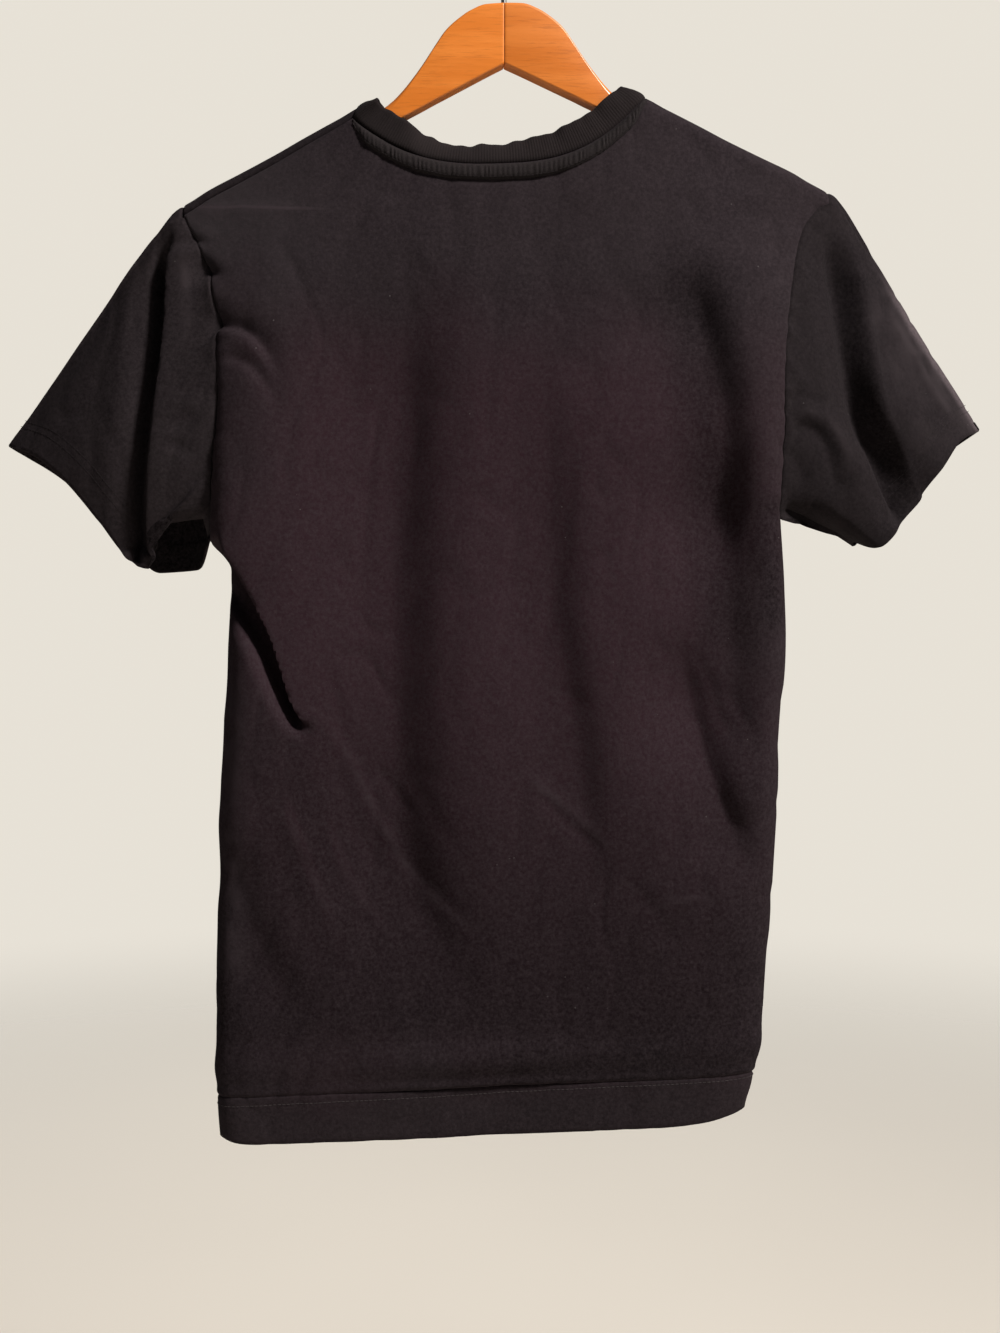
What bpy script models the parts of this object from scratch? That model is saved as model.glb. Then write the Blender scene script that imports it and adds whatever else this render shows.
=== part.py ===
"""A v-neck t-shirt of black cotton jersey, hanging on a wooden clothes hanger with a wire hook.

Metres, +Z up. The origin is the inside top of the hook, where a rail carries it. The shirt's
front looks to -Y and its back to +Y, and the wearer's left arm is at +X. Every cloth piece is
a thin wall over rings and rows that are worked out from the sizes below.
"""
import math

import bpy
import numpy as np

# ---------------------------------------------------------------- walls and seams
JERSEY = 0.0012          # wall of the panels and sleeves
RIB = 0.0020             # neck band, folded double
TAPE = 0.0010            # back-neck tape
SEAM_GAP = 0.0003        # between two sewn pieces
PANEL_PULL = 0.6 * SEAM_GAP      # how far a panel's edge stands back from its seam line

# ---------------------------------------------------------------- how it hangs
LEAN = 0.0419            # drop per metre of +X: the right arm of the hanger rides higher
WRAP = 0.0087            # radius of the cloth over the hanger's round top
QUARTER_WRAP = WRAP * math.pi / 2
WRAP_END = QUARTER_WRAP + 0.0013     # the row where the cloth leaves the hanger
DRAPE_LENGTH = 0.050     # how far below the ridge the cloth takes the body's own depth

# ---------------------------------------------------------------- hanger
HANGER_X = 0.0015        # the hanger's middle
ARM_DEPTH = 0.014        # board thickness, front to back
ARM_SWEEP = 0.35         # the arms curve forward: y = -sweep * x * x
ARM_TOP_ROUND = 0.0068
ARM_LOW_ROUND = 0.0030
ARM_RING = 5             # points on each rounded corner
# distance from the middle, top edge, lower edge
ARM_ROWS = [
    (0.0000, -0.0731, -0.1127), (0.0120, -0.0737, -0.1184), (0.0220, -0.0773, -0.1233),
    (0.0300, -0.0824, -0.1272), (0.0380, -0.0893, -0.1311), (0.0455, -0.0996, -0.1347),
    (0.0530, -0.1106, -0.1385), (0.0600, -0.1197, -0.1419), (0.0670, -0.1276, -0.1454),
    (0.0735, -0.1335, -0.1488), (0.0810, -0.1384, -0.1527), (0.0920, -0.1431, -0.1585),
    (0.1080, -0.1487, -0.1671), (0.1225, -0.1537, -0.1743), (0.1350, -0.1584, -0.1803),
    (0.1470, -0.1641, -0.1865), (0.1600, -0.1703, -0.1932), (0.1740, -0.1768, -0.2002),
    (0.1860, -0.1823, -0.2059), (0.1950, -0.1866, -0.2100), (0.2010, -0.1924, -0.2141),
    (0.2050, -0.1965, -0.2164), (0.2080, -0.1999, -0.2159), (0.2095, -0.2045, -0.2130),
]
LOW_ROUND_SHARE, TOP_ROUND_SHARE = 0.35, 0.55    # the rounds, at most, as shares of its height
WIRE = 0.0035            # hook wire
HOOK_INSIDE = 0.019      # inner radius of the hook
HOOK_SINK = 0.016        # how deep the wire is screwed into the wood
HOOK_HOLE = 0.0043       # the hole it sits in
HOLE_RUN_OUT = 0.004     # the drill's length above the wood
HOOK_NECK = 0.028        # straight wire above the wood
HOOK_FROM, HOOK_TO = -38.0, 205.0    # degrees of the round part
NECK_PULL = 0.9          # how slowly the wire bends out of its neck
WIRE_SIDES, HOLE_SIDES = 10, 12
BEND_STEPS, HOOK_STEPS = 7, 25

# ---------------------------------------------------------------- shirt
# cloth's top line over the hanger: distance from the middle, height
RIDGE = [
    (0.0000, -0.1325), (0.0600, -0.1329), (0.0800, -0.1332), (0.0905, -0.1346), (0.1080, -0.1430),
    (0.1225, -0.1501), (0.1350, -0.1563), (0.1470, -0.1625), (0.1600, -0.1687),
    (0.1740, -0.1752), (0.1950, -0.1848), (0.2050, -0.1905), (0.2175, -0.1969),
    (0.2300, -0.2051),
]
NECK_X = 0.0040          # the neck sits a little to the wearer's left on the hanger
NECK_HALF = 0.0965       # half the neck's width at the shoulder seams
NECK_BACK_DROP = 0.0498  # back neck seam below the ridge, along the cloth
NECK_BACK_POWER = 2.6    # how square the back neck is
NECK_FULL_LEFT, NECK_FULL_RIGHT = 0.78, 0.94    # and how soon it fills out on each side
NECK_FRONT_DROP = 0.1333     # point of the V below the ridge, along the cloth
NECK_FRONT_POWER = 0.93  # the sides of the V bow a little outwards
TIP_LEFT, TIP_RIGHT = 0.2135, -0.2180    # armhole seams on the ridge
SEAM_BEHIND_LEFT, SEAM_BEHIND_RIGHT = 0.0120, 0.0020     # shoulder seams lie behind the ridge
UNDERARM = -0.4160
HEM = -0.8275
HEM_CORNER_LEFT, HEM_CORNER_RIGHT = 0.0060, 0.0095      # rise of the hem at its corners
# height, left edge, right edge, then the depths y: back middle, back edge, front middle,
# front edge, and the power that rounds the edge (1 open at the armhole, 0.5 round at the side)
BODY = [
    (-0.130, 0.2135, -0.2180, 0.0090, -0.0085, -0.0120, -0.0245, 1.00),
    (-0.195, 0.2135, -0.2180, 0.0120, -0.0085, -0.0300, -0.0290, 1.00),
    (-0.225, 0.2015, -0.1985, 0.0135, -0.0025, -0.0370, -0.0400, 1.00),
    (-0.260, 0.1912, -0.1895, 0.0158, 0.0045, -0.0430, -0.0500, 0.90),
    (-0.310, 0.1888, -0.1838, 0.0186, 0.0095, -0.0490, -0.0560, 0.72),
    (-0.360, 0.1925, -0.1832, 0.0203, 0.0070, -0.0530, -0.0500, 0.60),
    (-0.400, 0.1955, -0.1830, 0.0210, 0.0020, -0.0550, -0.0300, 0.53),
    (-0.416, 0.1966, -0.1838, 0.0212, -0.0030, -0.0555, -0.0030, 0.50),
    (-0.437, 0.1862, -0.1852, 0.0213, -0.0040, -0.0560, -0.0040, 0.50),
    (-0.460, 0.1848, -0.1868, 0.0213, -0.0045, -0.0560, -0.0045, 0.50),
    (-0.510, 0.1873, -0.1886, 0.0210, -0.0050, -0.0556, -0.0050, 0.50),
    (-0.560, 0.1898, -0.1856, 0.0200, -0.0058, -0.0550, -0.0058, 0.50),
    (-0.670, 0.1980, -0.1800, 0.0145, -0.0070, -0.0520, -0.0070, 0.50),
    (-0.770, 0.1966, -0.1722, 0.0065, -0.0090, -0.0490, -0.0090, 0.50),
    (-0.830, 0.1946, -0.1636, 0.0000, -0.0100, -0.0470, -0.0100, 0.50),
]
BACK_FLAT_LEFT, BACK_FLAT_RIGHT = 9.0, 7.0     # how much flatter the back is than an arc
SWING_LEFT, SWING_RIGHT = -0.006, 0.010    # how far the sides swing forward and back
FOLD_FADE = 0.25         # share of a fold's length over which it fades at each end
FOLD_START = 0.060       # folds reach their depth this far below the hanger
FOLD_EDGE_POWER = 10     # and die out close to a panel's edges
# the largest folds: panel, start x and z, end x and z, depth, reach towards -X, reach towards +X
FOLDS = [
    ("back", 0.067, -0.215, 0.076, -0.600, 0.0150, 0.026, 0.060),
    ("back", 0.076, -0.580, 0.024, -0.780, 0.0100, 0.026, 0.050),
    ("back", -0.018, -0.286, -0.062, -0.690, 0.0070, 0.015, 0.038),
    ("back", -0.112, -0.240, -0.150, -0.470, 0.0120, 0.016, 0.050),
    ("back", -0.130, -0.350, -0.152, -0.620, 0.0150, 0.027, 0.050),
    ("back", -0.104, -0.480, -0.166, -0.670, 0.0100, 0.013, 0.034),
    ("back", 0.190, -0.415, 0.138, -0.560, 0.0180, 0.006, 0.030),
    ("back", 0.188, -0.596, 0.126, -0.760, 0.0055, 0.015, 0.026),
    ("back", 0.198, -0.277, 0.146, -0.325, 0.0040, 0.008, 0.008),
    ("front", 0.092, -0.270, 0.070, -0.760, 0.0080, 0.020, 0.018),
    ("front", -0.084, -0.280, -0.066, -0.740, 0.0080, 0.018, 0.022),
    ("front", 0.004, -0.330, 0.006, -0.640, -0.0050, 0.022, 0.022),
    ("front", 0.150, -0.320, 0.128, -0.560, 0.0050, 0.014, 0.014),
    ("front", -0.146, -0.320, -0.132, -0.540, 0.0055, 0.014, 0.014),
    ("sleeve_left", 0.219, -0.207, 0.240, -0.430, 0.0150, 0.007, 0.020),
    ("sleeve_right", -0.236, -0.228, -0.272, -0.400, 0.0110, 0.012, 0.012),
]

# sleeve hems, all round: share of the way round, x, y, z (0 at the top, 0.5 under the arm)
SLEEVE_HEM_LEFT = [
    (0.00, 0.3381, -0.0500, -0.3448), (0.06, 0.3195, -0.0350, -0.3520),
    (0.14, 0.2965, -0.0240, -0.3702), (0.22, 0.2725, -0.0160, -0.3985),
    (0.30, 0.2510, -0.0120, -0.4265), (0.36, 0.2400, -0.0150, -0.4320),
    (0.41, 0.2300, -0.0040, -0.4045), (0.46, 0.2010, -0.0050, -0.4000),
    (0.50, 0.2140, -0.0360, -0.4190), (0.55, 0.2140, -0.0520, -0.4260),
    (0.60, 0.2160, -0.0640, -0.4330), (0.68, 0.2400, -0.0780, -0.4350),
    (0.78, 0.2680, -0.0820, -0.4080), (0.90, 0.3060, -0.0720, -0.3680),
]
SLEEVE_HEM_RIGHT = [
    (0.00, -0.3360, -0.0460, -0.3590), (0.08, -0.3155, -0.0220, -0.3670),
    (0.17, -0.2970, -0.0100, -0.3880), (0.24, -0.2840, -0.0140, -0.4050),
    (0.32, -0.2720, -0.0040, -0.4210), (0.42, -0.2540, -0.0060, -0.4380),
    (0.50, -0.2430, -0.0260, -0.4330), (0.58, -0.2510, -0.0560, -0.4360),
    (0.68, -0.2620, -0.0740, -0.4310), (0.80, -0.2850, -0.0800, -0.4080),
    (0.92, -0.3180, -0.0640, -0.3740),
]
# how far each sleeve head stands up past the shoulder, and where along the sleeve
SLEEVE_HEADS = {"left": (0.0065, 0.20), "right": (0.0040, 0.10)}
SLEEVE_HEAD_OUT = 0.35       # and leans out by this share of its rise
SLEEVE_FOLD_START = 0.20     # share of its length before folds reach their depth
SLEEVE_PUFF = 0.0060         # how far each side swells between armhole and hem

RIB_WIDTH = 0.0172
RIB_STAND = 0.20         # how steeply the band rises where it crosses the hanger
RIB_CLEAR = 0.0010       # between the band and the wood
RIB_HANG = 0.0040        # how far below the arms the band still keeps clear of them
TAPE_FROM, TAPE_TO = 0.0010, 0.0108      # edges of the tape below the neck seam

# ---------------------------------------------------------------- mesh counts
NECK_COLUMNS = 9         # from the middle to a shoulder seam
SHOULDER_COLUMNS = 5
WRAP_ROWS = {"back": 3, "front": 6}
ARMHOLE_ROWS = 9
ARMHOLE_CROWDING = 1.15  # its rows lie closer together at the top
SIDE_ROWS = 16
SLEEVE_RINGS = 8


# ================================================================= small tools
def smooth(rows, x, column):
    """Read a table between its rows along a cubic that doesn't overshoot."""
    rows = sorted(rows)
    xs = np.array([row[0] for row in rows])
    ys = np.array([row[column] for row in rows])
    x = min(max(x, xs[0]), xs[-1])
    step = np.diff(xs)
    rise = np.diff(ys) / step
    slope = np.zeros(len(xs))
    for k in range(1, len(xs) - 1):
        if rise[k - 1] * rise[k] > 0:
            slope[k] = 2 * rise[k - 1] * rise[k] / (rise[k - 1] + rise[k])
    slope[0], slope[-1] = rise[0], rise[-1]
    k = min(int(np.searchsorted(xs, x, side="right")) - 1, len(xs) - 2)
    u = (x - xs[k]) / step[k]
    return float(ys[k] * (1 + 2 * u) * (1 - u) ** 2 + ys[k + 1] * u * u * (3 - 2 * u)
                 + step[k] * (slope[k] * u * (1 - u) ** 2 - slope[k + 1] * u * u * (1 - u)))


def ease(x):
    x = min(max(x, 0.0), 1.0)
    return x * x * (3 - 2 * x)


def lean(points):
    """The whole thing hangs off level."""
    points = np.array(points, float)
    points[..., 2] -= LEAN * points[..., 0]
    return points


def unit(v):
    return v / max(np.linalg.norm(v), 1e-12)


def ridge_height(x):
    return smooth(RIDGE, abs(x - HANGER_X), 1)


def ridge_y(x):
    return -ARM_SWEEP * (x - HANGER_X) ** 2


def seam_behind(x):
    """Arc length from the ridge back to the shoulder seam."""
    share = (x - TIP_RIGHT) / (TIP_LEFT - TIP_RIGHT)
    return SEAM_BEHIND_RIGHT + (SEAM_BEHIND_LEFT - SEAM_BEHIND_RIGHT) * ease(share)


def fold_depth(panel, x, z):
    """How far the folds push the cloth inwards at a place on a panel."""
    depth = 0.0
    for name, x0, z0, x1, z1, deep, reach_minus, reach_plus in FOLDS:
        if name != panel:
            continue
        along = (z - z0) / (z1 - z0)
        if not 0 < along < 1:
            continue
        away = x - (x0 + (x1 - x0) * along)
        reach = reach_plus if away > 0 else reach_minus
        fade = ease(along / FOLD_FADE) * ease((1 - along) / FOLD_FADE)
        depth += deep * fade * math.exp(-(away / reach) ** 2)
    return depth


# ================================================================= the shirt's surfaces
def top_reach(panel, x):
    """Where a panel starts, as arc length below the ridge, on the column at x."""
    behind = seam_behind(x)
    off = abs(x - NECK_X) / NECK_HALF
    if panel == "back":
        if off >= 1:
            return behind
        full = NECK_FULL_LEFT if x > NECK_X else NECK_FULL_RIGHT
        return behind + (NECK_BACK_DROP - behind) * (1 - off ** NECK_BACK_POWER) ** full
    if off >= 1:
        return -behind
    rise = 0.9 * (1 - off) ** NECK_FRONT_POWER + 0.1 * (1 - off) ** 0.45
    return -behind + (NECK_FRONT_DROP + behind) * rise


def reach_of_height(x, z):
    return ridge_height(x) - WRAP - z + QUARTER_WRAP


def body_depth(panel, s, z):
    """The y of a panel at s (-1 right edge, 1 left edge) where it hangs free."""
    middle = smooth(BODY, z, 3 if panel == "back" else 5)
    edge = smooth(BODY, z, 4 if panel == "back" else 6)
    power = smooth(BODY, z, 7)
    flat = 1 + 1 / power
    if panel == "back":
        flat += BACK_FLAT_LEFT if s > 0 else BACK_FLAT_RIGHT
    swing = (SWING_RIGHT * ease(-s) * ease((-0.20 - z) / 0.15)
             + SWING_LEFT * ease((s - 0.15) / 0.75) * ease((-0.50 - z) / 0.15))
    return swing + edge + (middle - edge) * max(1 - abs(s) ** flat, 0.0) ** power


def panel_point(panel, x_top, reach):
    """A panel's point on the column that starts at x_top, that far down the cloth."""
    side = 1 if panel == "back" else -1
    middle = (TIP_LEFT + TIP_RIGHT) / 2
    s = (x_top - middle) / ((TIP_LEFT - TIP_RIGHT) / 2)
    top = ridge_height(x_top)
    if reach < QUARTER_WRAP:
        angle = reach / WRAP
        y = ridge_y(x_top) + side * WRAP * math.sin(angle)
        return np.array([x_top, y, top - WRAP * (1 - math.cos(angle))])
    below = reach - QUARTER_WRAP
    z = top - WRAP - below
    left, right = smooth(BODY, z, 1), smooth(BODY, z, 2)
    x = (left + right) / 2 + s * (left - right) / 2
    start = ridge_y(x_top) + side * WRAP - body_depth(panel, s, top - WRAP)
    y = body_depth(panel, s, z) + start * math.exp(-(below / DRAPE_LENGTH) ** 2)
    inner = (1 - abs(s) ** FOLD_EDGE_POWER) * ease(below / FOLD_START)
    corner = HEM_CORNER_LEFT * max(s, 0) ** 16 + HEM_CORNER_RIGHT * max(-s, 0) ** 8
    corner *= ease((HEM + 0.030 - z) / 0.030)
    return np.array([x, y - side * fold_depth(panel, x, z) * inner, z + corner])


def columns():
    """The x of each column on the ridge, from the right armhole to the left one."""
    neck = [math.sin(math.pi / 2 * k / NECK_COLUMNS) for k in range(NECK_COLUMNS + 1)]
    left = [NECK_X + NECK_HALF * k for k in neck]
    right = [NECK_X - NECK_HALF * k for k in neck]
    steps = range(1, SHOULDER_COLUMNS + 1)
    left += [left[-1] + (TIP_LEFT - left[-1]) * k / SHOULDER_COLUMNS for k in steps]
    right += [right[-1] + (TIP_RIGHT - right[-1]) * k / SHOULDER_COLUMNS for k in steps]
    return right[:0:-1] + left


def edge_reaches(panel, x_top):
    """Down an edge: over the ridge, down the armhole and down the side seam."""
    start = top_reach(panel, x_top)
    arm, hem = reach_of_height(x_top, UNDERARM), reach_of_height(x_top, HEM)
    wraps, arms = WRAP_ROWS[panel], ARMHOLE_ROWS
    return ([start + (WRAP_END - start) * k / wraps for k in range(wraps)]
            + [WRAP_END + (arm - WRAP_END) * (k / arms) ** ARMHOLE_CROWDING for k in range(arms)]
            + [arm + (hem - arm) * k / SIDE_ROWS for k in range(SIDE_ROWS + 1)])


def panel_grid(panel):
    """Points of a panel as rows from the shoulders down to the hem."""
    xs = columns()
    left, right = edge_reaches(panel, TIP_LEFT), edge_reaches(panel, TIP_RIGHT)
    hems = reach_of_height(TIP_LEFT, HEM), reach_of_height(TIP_RIGHT, HEM)
    rows = []
    for a, b in zip(left, right):
        share_left = (a - left[0]) / (hems[0] - left[0])
        share_right = (b - right[0]) / (hems[1] - right[0])
        row = []
        for x in xs:
            mix = (x - TIP_RIGHT) / (TIP_LEFT - TIP_RIGHT)
            share = share_right + (share_left - share_right) * mix
            top, hem = top_reach(panel, x), reach_of_height(x, HEM)
            row.append(panel_point(panel, x, top + (hem - top) * share))
        rows.append(row)
    return np.array(rows)


def armhole(back, front, column):
    """The armhole seam: down the back panel's edge and up the front panel's."""
    down = WRAP_ROWS["back"] + ARMHOLE_ROWS
    up = WRAP_ROWS["front"] + ARMHOLE_ROWS
    return np.concatenate([back[:down + 1, column], front[up - 1:0:-1, column]])


def sleeve_grid(side, ring, under):
    """A sleeve as rings from the armhole to its hem. under is the ring's underarm point."""
    table = SLEEVE_HEM_LEFT if side == "left" else SLEEVE_HEM_RIGHT
    table = table + [(1.0,) + table[0][1:]]
    lengths = np.linalg.norm(np.roll(ring, -1, axis=0) - ring, axis=1)
    down = np.concatenate([[0], np.cumsum(lengths[:under])])
    up = np.concatenate([[0], np.cumsum(lengths[under:])])
    around = np.concatenate([0.5 * down[:-1] / down[-1], 0.5 + 0.5 * up[:-1] / up[-1]])
    hem = np.array([[smooth(table, share, k) for k in (1, 2, 3)] for share in around])
    outward = 1 if side == "left" else -1
    rings = []
    for k in range(SLEEVE_RINGS + 1):
        a = k / SLEEVE_RINGS
        points = ring * (1 - a) + hem * a
        rise, at = SLEEVE_HEADS[side]
        head = rise * (a / at) * math.exp(1 - a / at)
        for n, share in enumerate(around):
            top = max(math.cos(2 * math.pi * share), 0.0) ** 2
            points[n] += np.array([SLEEVE_HEAD_OUT * outward, 0, 1]) * head * top
            swell = math.sin(2 * math.pi * share)
            points[n, 1] += SLEEVE_PUFF * math.sin(math.pi * a) * swell
            fold = fold_depth("sleeve_" + side, points[n, 0], points[n, 2])
            points[n, 1] -= fold * max(swell, 0.0) * ease(a / SLEEVE_FOLD_START)
        rings.append(points)
    return np.array(rings)


def normals_of(grid, closed=False):
    """Normals of a grid of rows, closed round each row where it is a tube."""
    if closed:
        across = np.roll(grid, -1, axis=1) - np.roll(grid, 1, axis=1)
    else:
        across = np.gradient(grid, axis=1)
    along = np.gradient(grid, axis=0)
    normal = np.cross(along, across)
    return normal / np.maximum(np.linalg.norm(normal, axis=2, keepdims=True), 1e-12)


def share_normals(pieces):
    """Where pieces meet in a seam, their walls stand in the same direction."""
    meeting = {}
    for grid, normal in pieces:
        edge = np.ones(grid.shape[:2], bool)
        edge[1:-1, 1:-1] = False
        for i, j in zip(*np.nonzero(edge)):
            place = tuple(np.round(grid[i, j] * 1e5 + 0.123))
            meeting.setdefault(place, []).append((normal, i, j))
    for members in meeting.values():
        mean = unit(sum(normal[i, j] for normal, i, j in members))
        for normal, i, j in members:
            normal[i, j] = mean


def pull_back(grid, source, normal, where, inner, gap=PANEL_PULL):
    """Draw an edge back from its seam, along the cloth."""
    away = source[inner] - source[where]
    away -= np.sum(away * normal[where], axis=-1, keepdims=True) * normal[where]
    away /= np.maximum(np.linalg.norm(away, axis=-1, keepdims=True), 1e-12)
    grid[where] += away * gap


# ================================================================= solids
def add_object(name, vertices, faces, material, crease=40.0):
    mesh = bpy.data.meshes.new(name)
    mesh.from_pydata([tuple(map(float, v)) for v in vertices], [], faces)
    mesh.validate()
    mesh.materials.append(material)
    obj = bpy.data.objects.new(name, mesh)
    bpy.context.scene.collection.objects.link(obj)
    mesh.shade_smooth()
    mesh.set_sharp_from_angle(angle=math.radians(crease))
    return obj


def add_wall(name, grid, normal, thickness, material, closed=False):
    """A cloth piece: the grid moved out and in by half its thickness, joined round its edges."""
    rows, count = grid.shape[:2]
    outer = (grid + normal * thickness / 2).reshape(-1, 3)
    inner = (grid - normal * thickness / 2).reshape(-1, 3)
    shift = rows * count
    faces = []
    last = count if closed else count - 1
    for i in range(rows - 1):
        for j in range(last):
            k = (j + 1) % count
            a, b, c, d = i * count + j, i * count + k, (i + 1) * count + k, (i + 1) * count + j
            faces.append((a, d, c, b))
            faces.append((a + shift, b + shift, c + shift, d + shift))
    for j in range(last):
        k = (j + 1) % count
        faces.append((j, k, k + shift, j + shift))
        a, b = (rows - 1) * count + j, (rows - 1) * count + k
        faces.append((a, a + shift, b + shift, b))
    if not closed:
        for i in range(rows - 1):
            a, b = i * count, (i + 1) * count
            faces.append((a, a + shift, b + shift, b))
            a, b = a + count - 1, b + count - 1
            faces.append((a, b, b + shift, a + shift))
    return add_object(name, lean(np.concatenate([outer, inner])), faces, material)


def loft(name, rings, material, crease=40.0):
    """A solid through closed rings, with a flat face on each end."""
    count = len(rings[0])
    faces = []
    for i in range(len(rings) - 1):
        for j in range(count):
            k = (j + 1) % count
            faces.append((i * count + j, i * count + k, (i + 1) * count + k, (i + 1) * count + j))
    faces.append(tuple(range(count))[::-1])
    faces.append(tuple(range((len(rings) - 1) * count, len(rings) * count)))
    return add_object(name, np.concatenate(rings), faces, material, crease)


def plain_material(name, color, roughness, metallic=0.0):
    material = bpy.data.materials.new(name)
    material.use_nodes = True
    shader = material.node_tree.nodes["Principled BSDF"]
    shader.inputs["Base Color"].default_value = (*color, 1.0)
    shader.inputs["Roughness"].default_value = roughness
    shader.inputs["Metallic"].default_value = metallic
    return material


# ================================================================= shirt
def neck_loop(back, front, back_normal, front_normal):
    """The neck seam, from the point of the V up its left side, round the back and down again."""
    xs = columns()
    middle = len(xs) // 2
    left, right = middle + NECK_COLUMNS, middle - NECK_COLUMNS
    points = [front[0, middle:left], back[0, left:right:-1], front[0, right:middle]]
    normals = [front_normal[0, middle:left], back_normal[0, left:right:-1],
               front_normal[0, right:middle]]
    return np.concatenate(points), np.concatenate(normals)


def clear_of_hanger(point, clearance):
    """Move a point of the neck band out to where it lies on the hanger's arm."""
    off = abs(point[0] - HANGER_X)
    top, low = smooth(ARM_ROWS, off, 1), smooth(ARM_ROWS, off, 2)
    radius = ARM_DEPTH / 2 + clearance
    y = point[1] - ridge_y(point[0])
    z = point[2] - (top - ARM_DEPTH / 2)
    if z > 0 and math.hypot(y, z) < radius:
        scale = radius / math.hypot(y, z)
        y, z = y * scale, z * scale
    elif low - RIB_HANG < point[2] and z <= 0 and abs(y) < radius:
        y = math.copysign(radius, y)
    return np.array([point[0], ridge_y(point[0]) + y, z + top - ARM_DEPTH / 2])


def rib_grid(seam, normal):
    """The neck band: the neck seam moved inwards across the cloth, mitred at the V."""
    along = np.roll(seam, -1, axis=0) - np.roll(seam, 1, axis=0)
    inward = np.cross(normal, along)
    inward /= np.linalg.norm(inward, axis=1, keepdims=True)
    inward[:, 2] += RIB_STAND * np.maximum(normal[:, 2], 0)
    inward /= np.linalg.norm(inward, axis=1, keepdims=True)
    rise = seam[1] - seam[0]
    half_angle = math.atan2(abs(rise[0]), math.hypot(rise[1], rise[2]))
    inward[0] = unit(np.array([0, rise[1], rise[2]])) / math.sin(half_angle)
    rows = [seam + inward * RIB_WIDTH * k for k in (0, 0.5, 1)]
    clearance = RIB / 2 + RIB_CLEAR
    rows[1:] = [[clear_of_hanger(point, clearance) for point in row] for row in rows[1:]]
    return np.array(rows)


def along_column(column, distance):
    """A point that far down a column of a panel."""
    for a, b in zip(column, column[1:]):
        length = np.linalg.norm(b - a)
        if distance <= length:
            return a + (b - a) * distance / length
        distance -= length
    return column[-1]


def tape_grid(back):
    """The tape over the back neck seam, from the back panel's own points moved out."""
    middle = len(columns()) // 2
    across = range(middle - NECK_COLUMNS + 2, middle + NECK_COLUMNS)
    out = (JERSEY + TAPE) / 2 + 2 * SEAM_GAP
    raised = back - normals_of(back) * out
    steps = np.linspace(TAPE_FROM, TAPE_TO, 4)
    return np.array([[along_column(raised[:, j], d) for j in across] for d in steps])


def add_panel(name, grid, normal, material, thickness=JERSEY):
    """A panel's wall, wound so that its faces look outwards."""
    if np.sum(normals_of(grid) * normal) < 0:
        grid, normal = grid[:, ::-1], normal[:, ::-1]
    add_wall(name, grid, normal, thickness, material)


def add_tube(name, grid, normal, thickness, material):
    if np.sum(normals_of(grid, closed=True) * normal) < 0:
        grid, normal = grid[:, ::-1], normal[:, ::-1]
    add_wall(name, grid, normal, thickness, material, closed=True)


def make_shirt():
    jersey = plain_material("jersey_black", (0.028, 0.019, 0.021), 0.92)
    rib = plain_material("rib_black", (0.024, 0.018, 0.018), 0.92)
    tape_cloth = plain_material("tape_black", (0.028, 0.022, 0.022), 0.92)
    back, front = panel_grid("back"), panel_grid("front")
    back_normal, front_normal = -normals_of(back), normals_of(front)
    under = WRAP_ROWS["back"] + ARMHOLE_ROWS
    sleeves = {}
    for side, column, sign in (("left", -1, 1), ("right", 0, -1)):
        grid = sleeve_grid(side, armhole(back, front, column), under)
        sleeves[side] = grid, normals_of(grid, closed=True) * sign
    share_normals([(back, back_normal), (front, front_normal),
                   sleeves["left"], sleeves["right"]])
    seam, seam_normal = neck_loop(back, front, back_normal, front_normal)
    band = rib_grid(seam, seam_normal)
    band_normal = normals_of(band, closed=True)
    band_normal *= np.sign(np.sum(band_normal[1] * seam_normal, axis=-1))[None, :, None]
    band_normal[0] = seam_normal

    for grid, normal, name in ((back, back_normal, "back_panel"),
                               (front, front_normal, "front_panel")):
        drawn = grid.copy()
        pull_back(drawn, grid, normal, np.s_[0], np.s_[1], 1.3 * SEAM_GAP)
        pull_back(drawn, grid, normal, np.s_[:, 0], np.s_[:, 1], SEAM_GAP)
        pull_back(drawn, grid, normal, np.s_[:, -1], np.s_[:, -2], SEAM_GAP)
        add_panel(name, drawn, normal, jersey)
    for side, (grid, normal) in sleeves.items():
        drawn = grid.copy()
        pull_back(drawn, grid, normal, np.s_[0], np.s_[1], SEAM_GAP)
        add_tube("sleeve_" + side, drawn, normal, JERSEY, jersey)
    drawn = band.copy()
    pull_back(drawn, band, band_normal, np.s_[0], np.s_[1], SEAM_GAP)
    add_tube("neck_rib", drawn, band_normal, RIB, rib)
    tape = tape_grid(back)
    add_panel("neck_tape", tape, -normals_of(tape), tape_cloth, TAPE)


# ================================================================= hanger
def arm_ring(x, top, low, side):
    """Section of the board at x: round on top, softly rounded below."""
    half = ARM_DEPTH / 2
    low_round = min(ARM_LOW_ROUND, (top - low) * LOW_ROUND_SHARE)
    top_round = min(ARM_TOP_ROUND, (top - low) * TOP_ROUND_SHARE)
    corners = [(half - top_round, top - top_round, top_round, 0),
               (-half + top_round, top - top_round, top_round, 90),
               (-half + low_round, low + low_round, low_round, 180),
               (half - low_round, low + low_round, low_round, 270)]
    place = HANGER_X + side * x
    ring = []
    for y, z, radius, start in corners:
        for k in range(ARM_RING):
            angle = math.radians(start + 90 * k / (ARM_RING - 1))
            ring.append((place, ridge_y(place) + y + radius * math.cos(angle),
                         z + radius * math.sin(angle)))
    return lean(ring)


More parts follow.
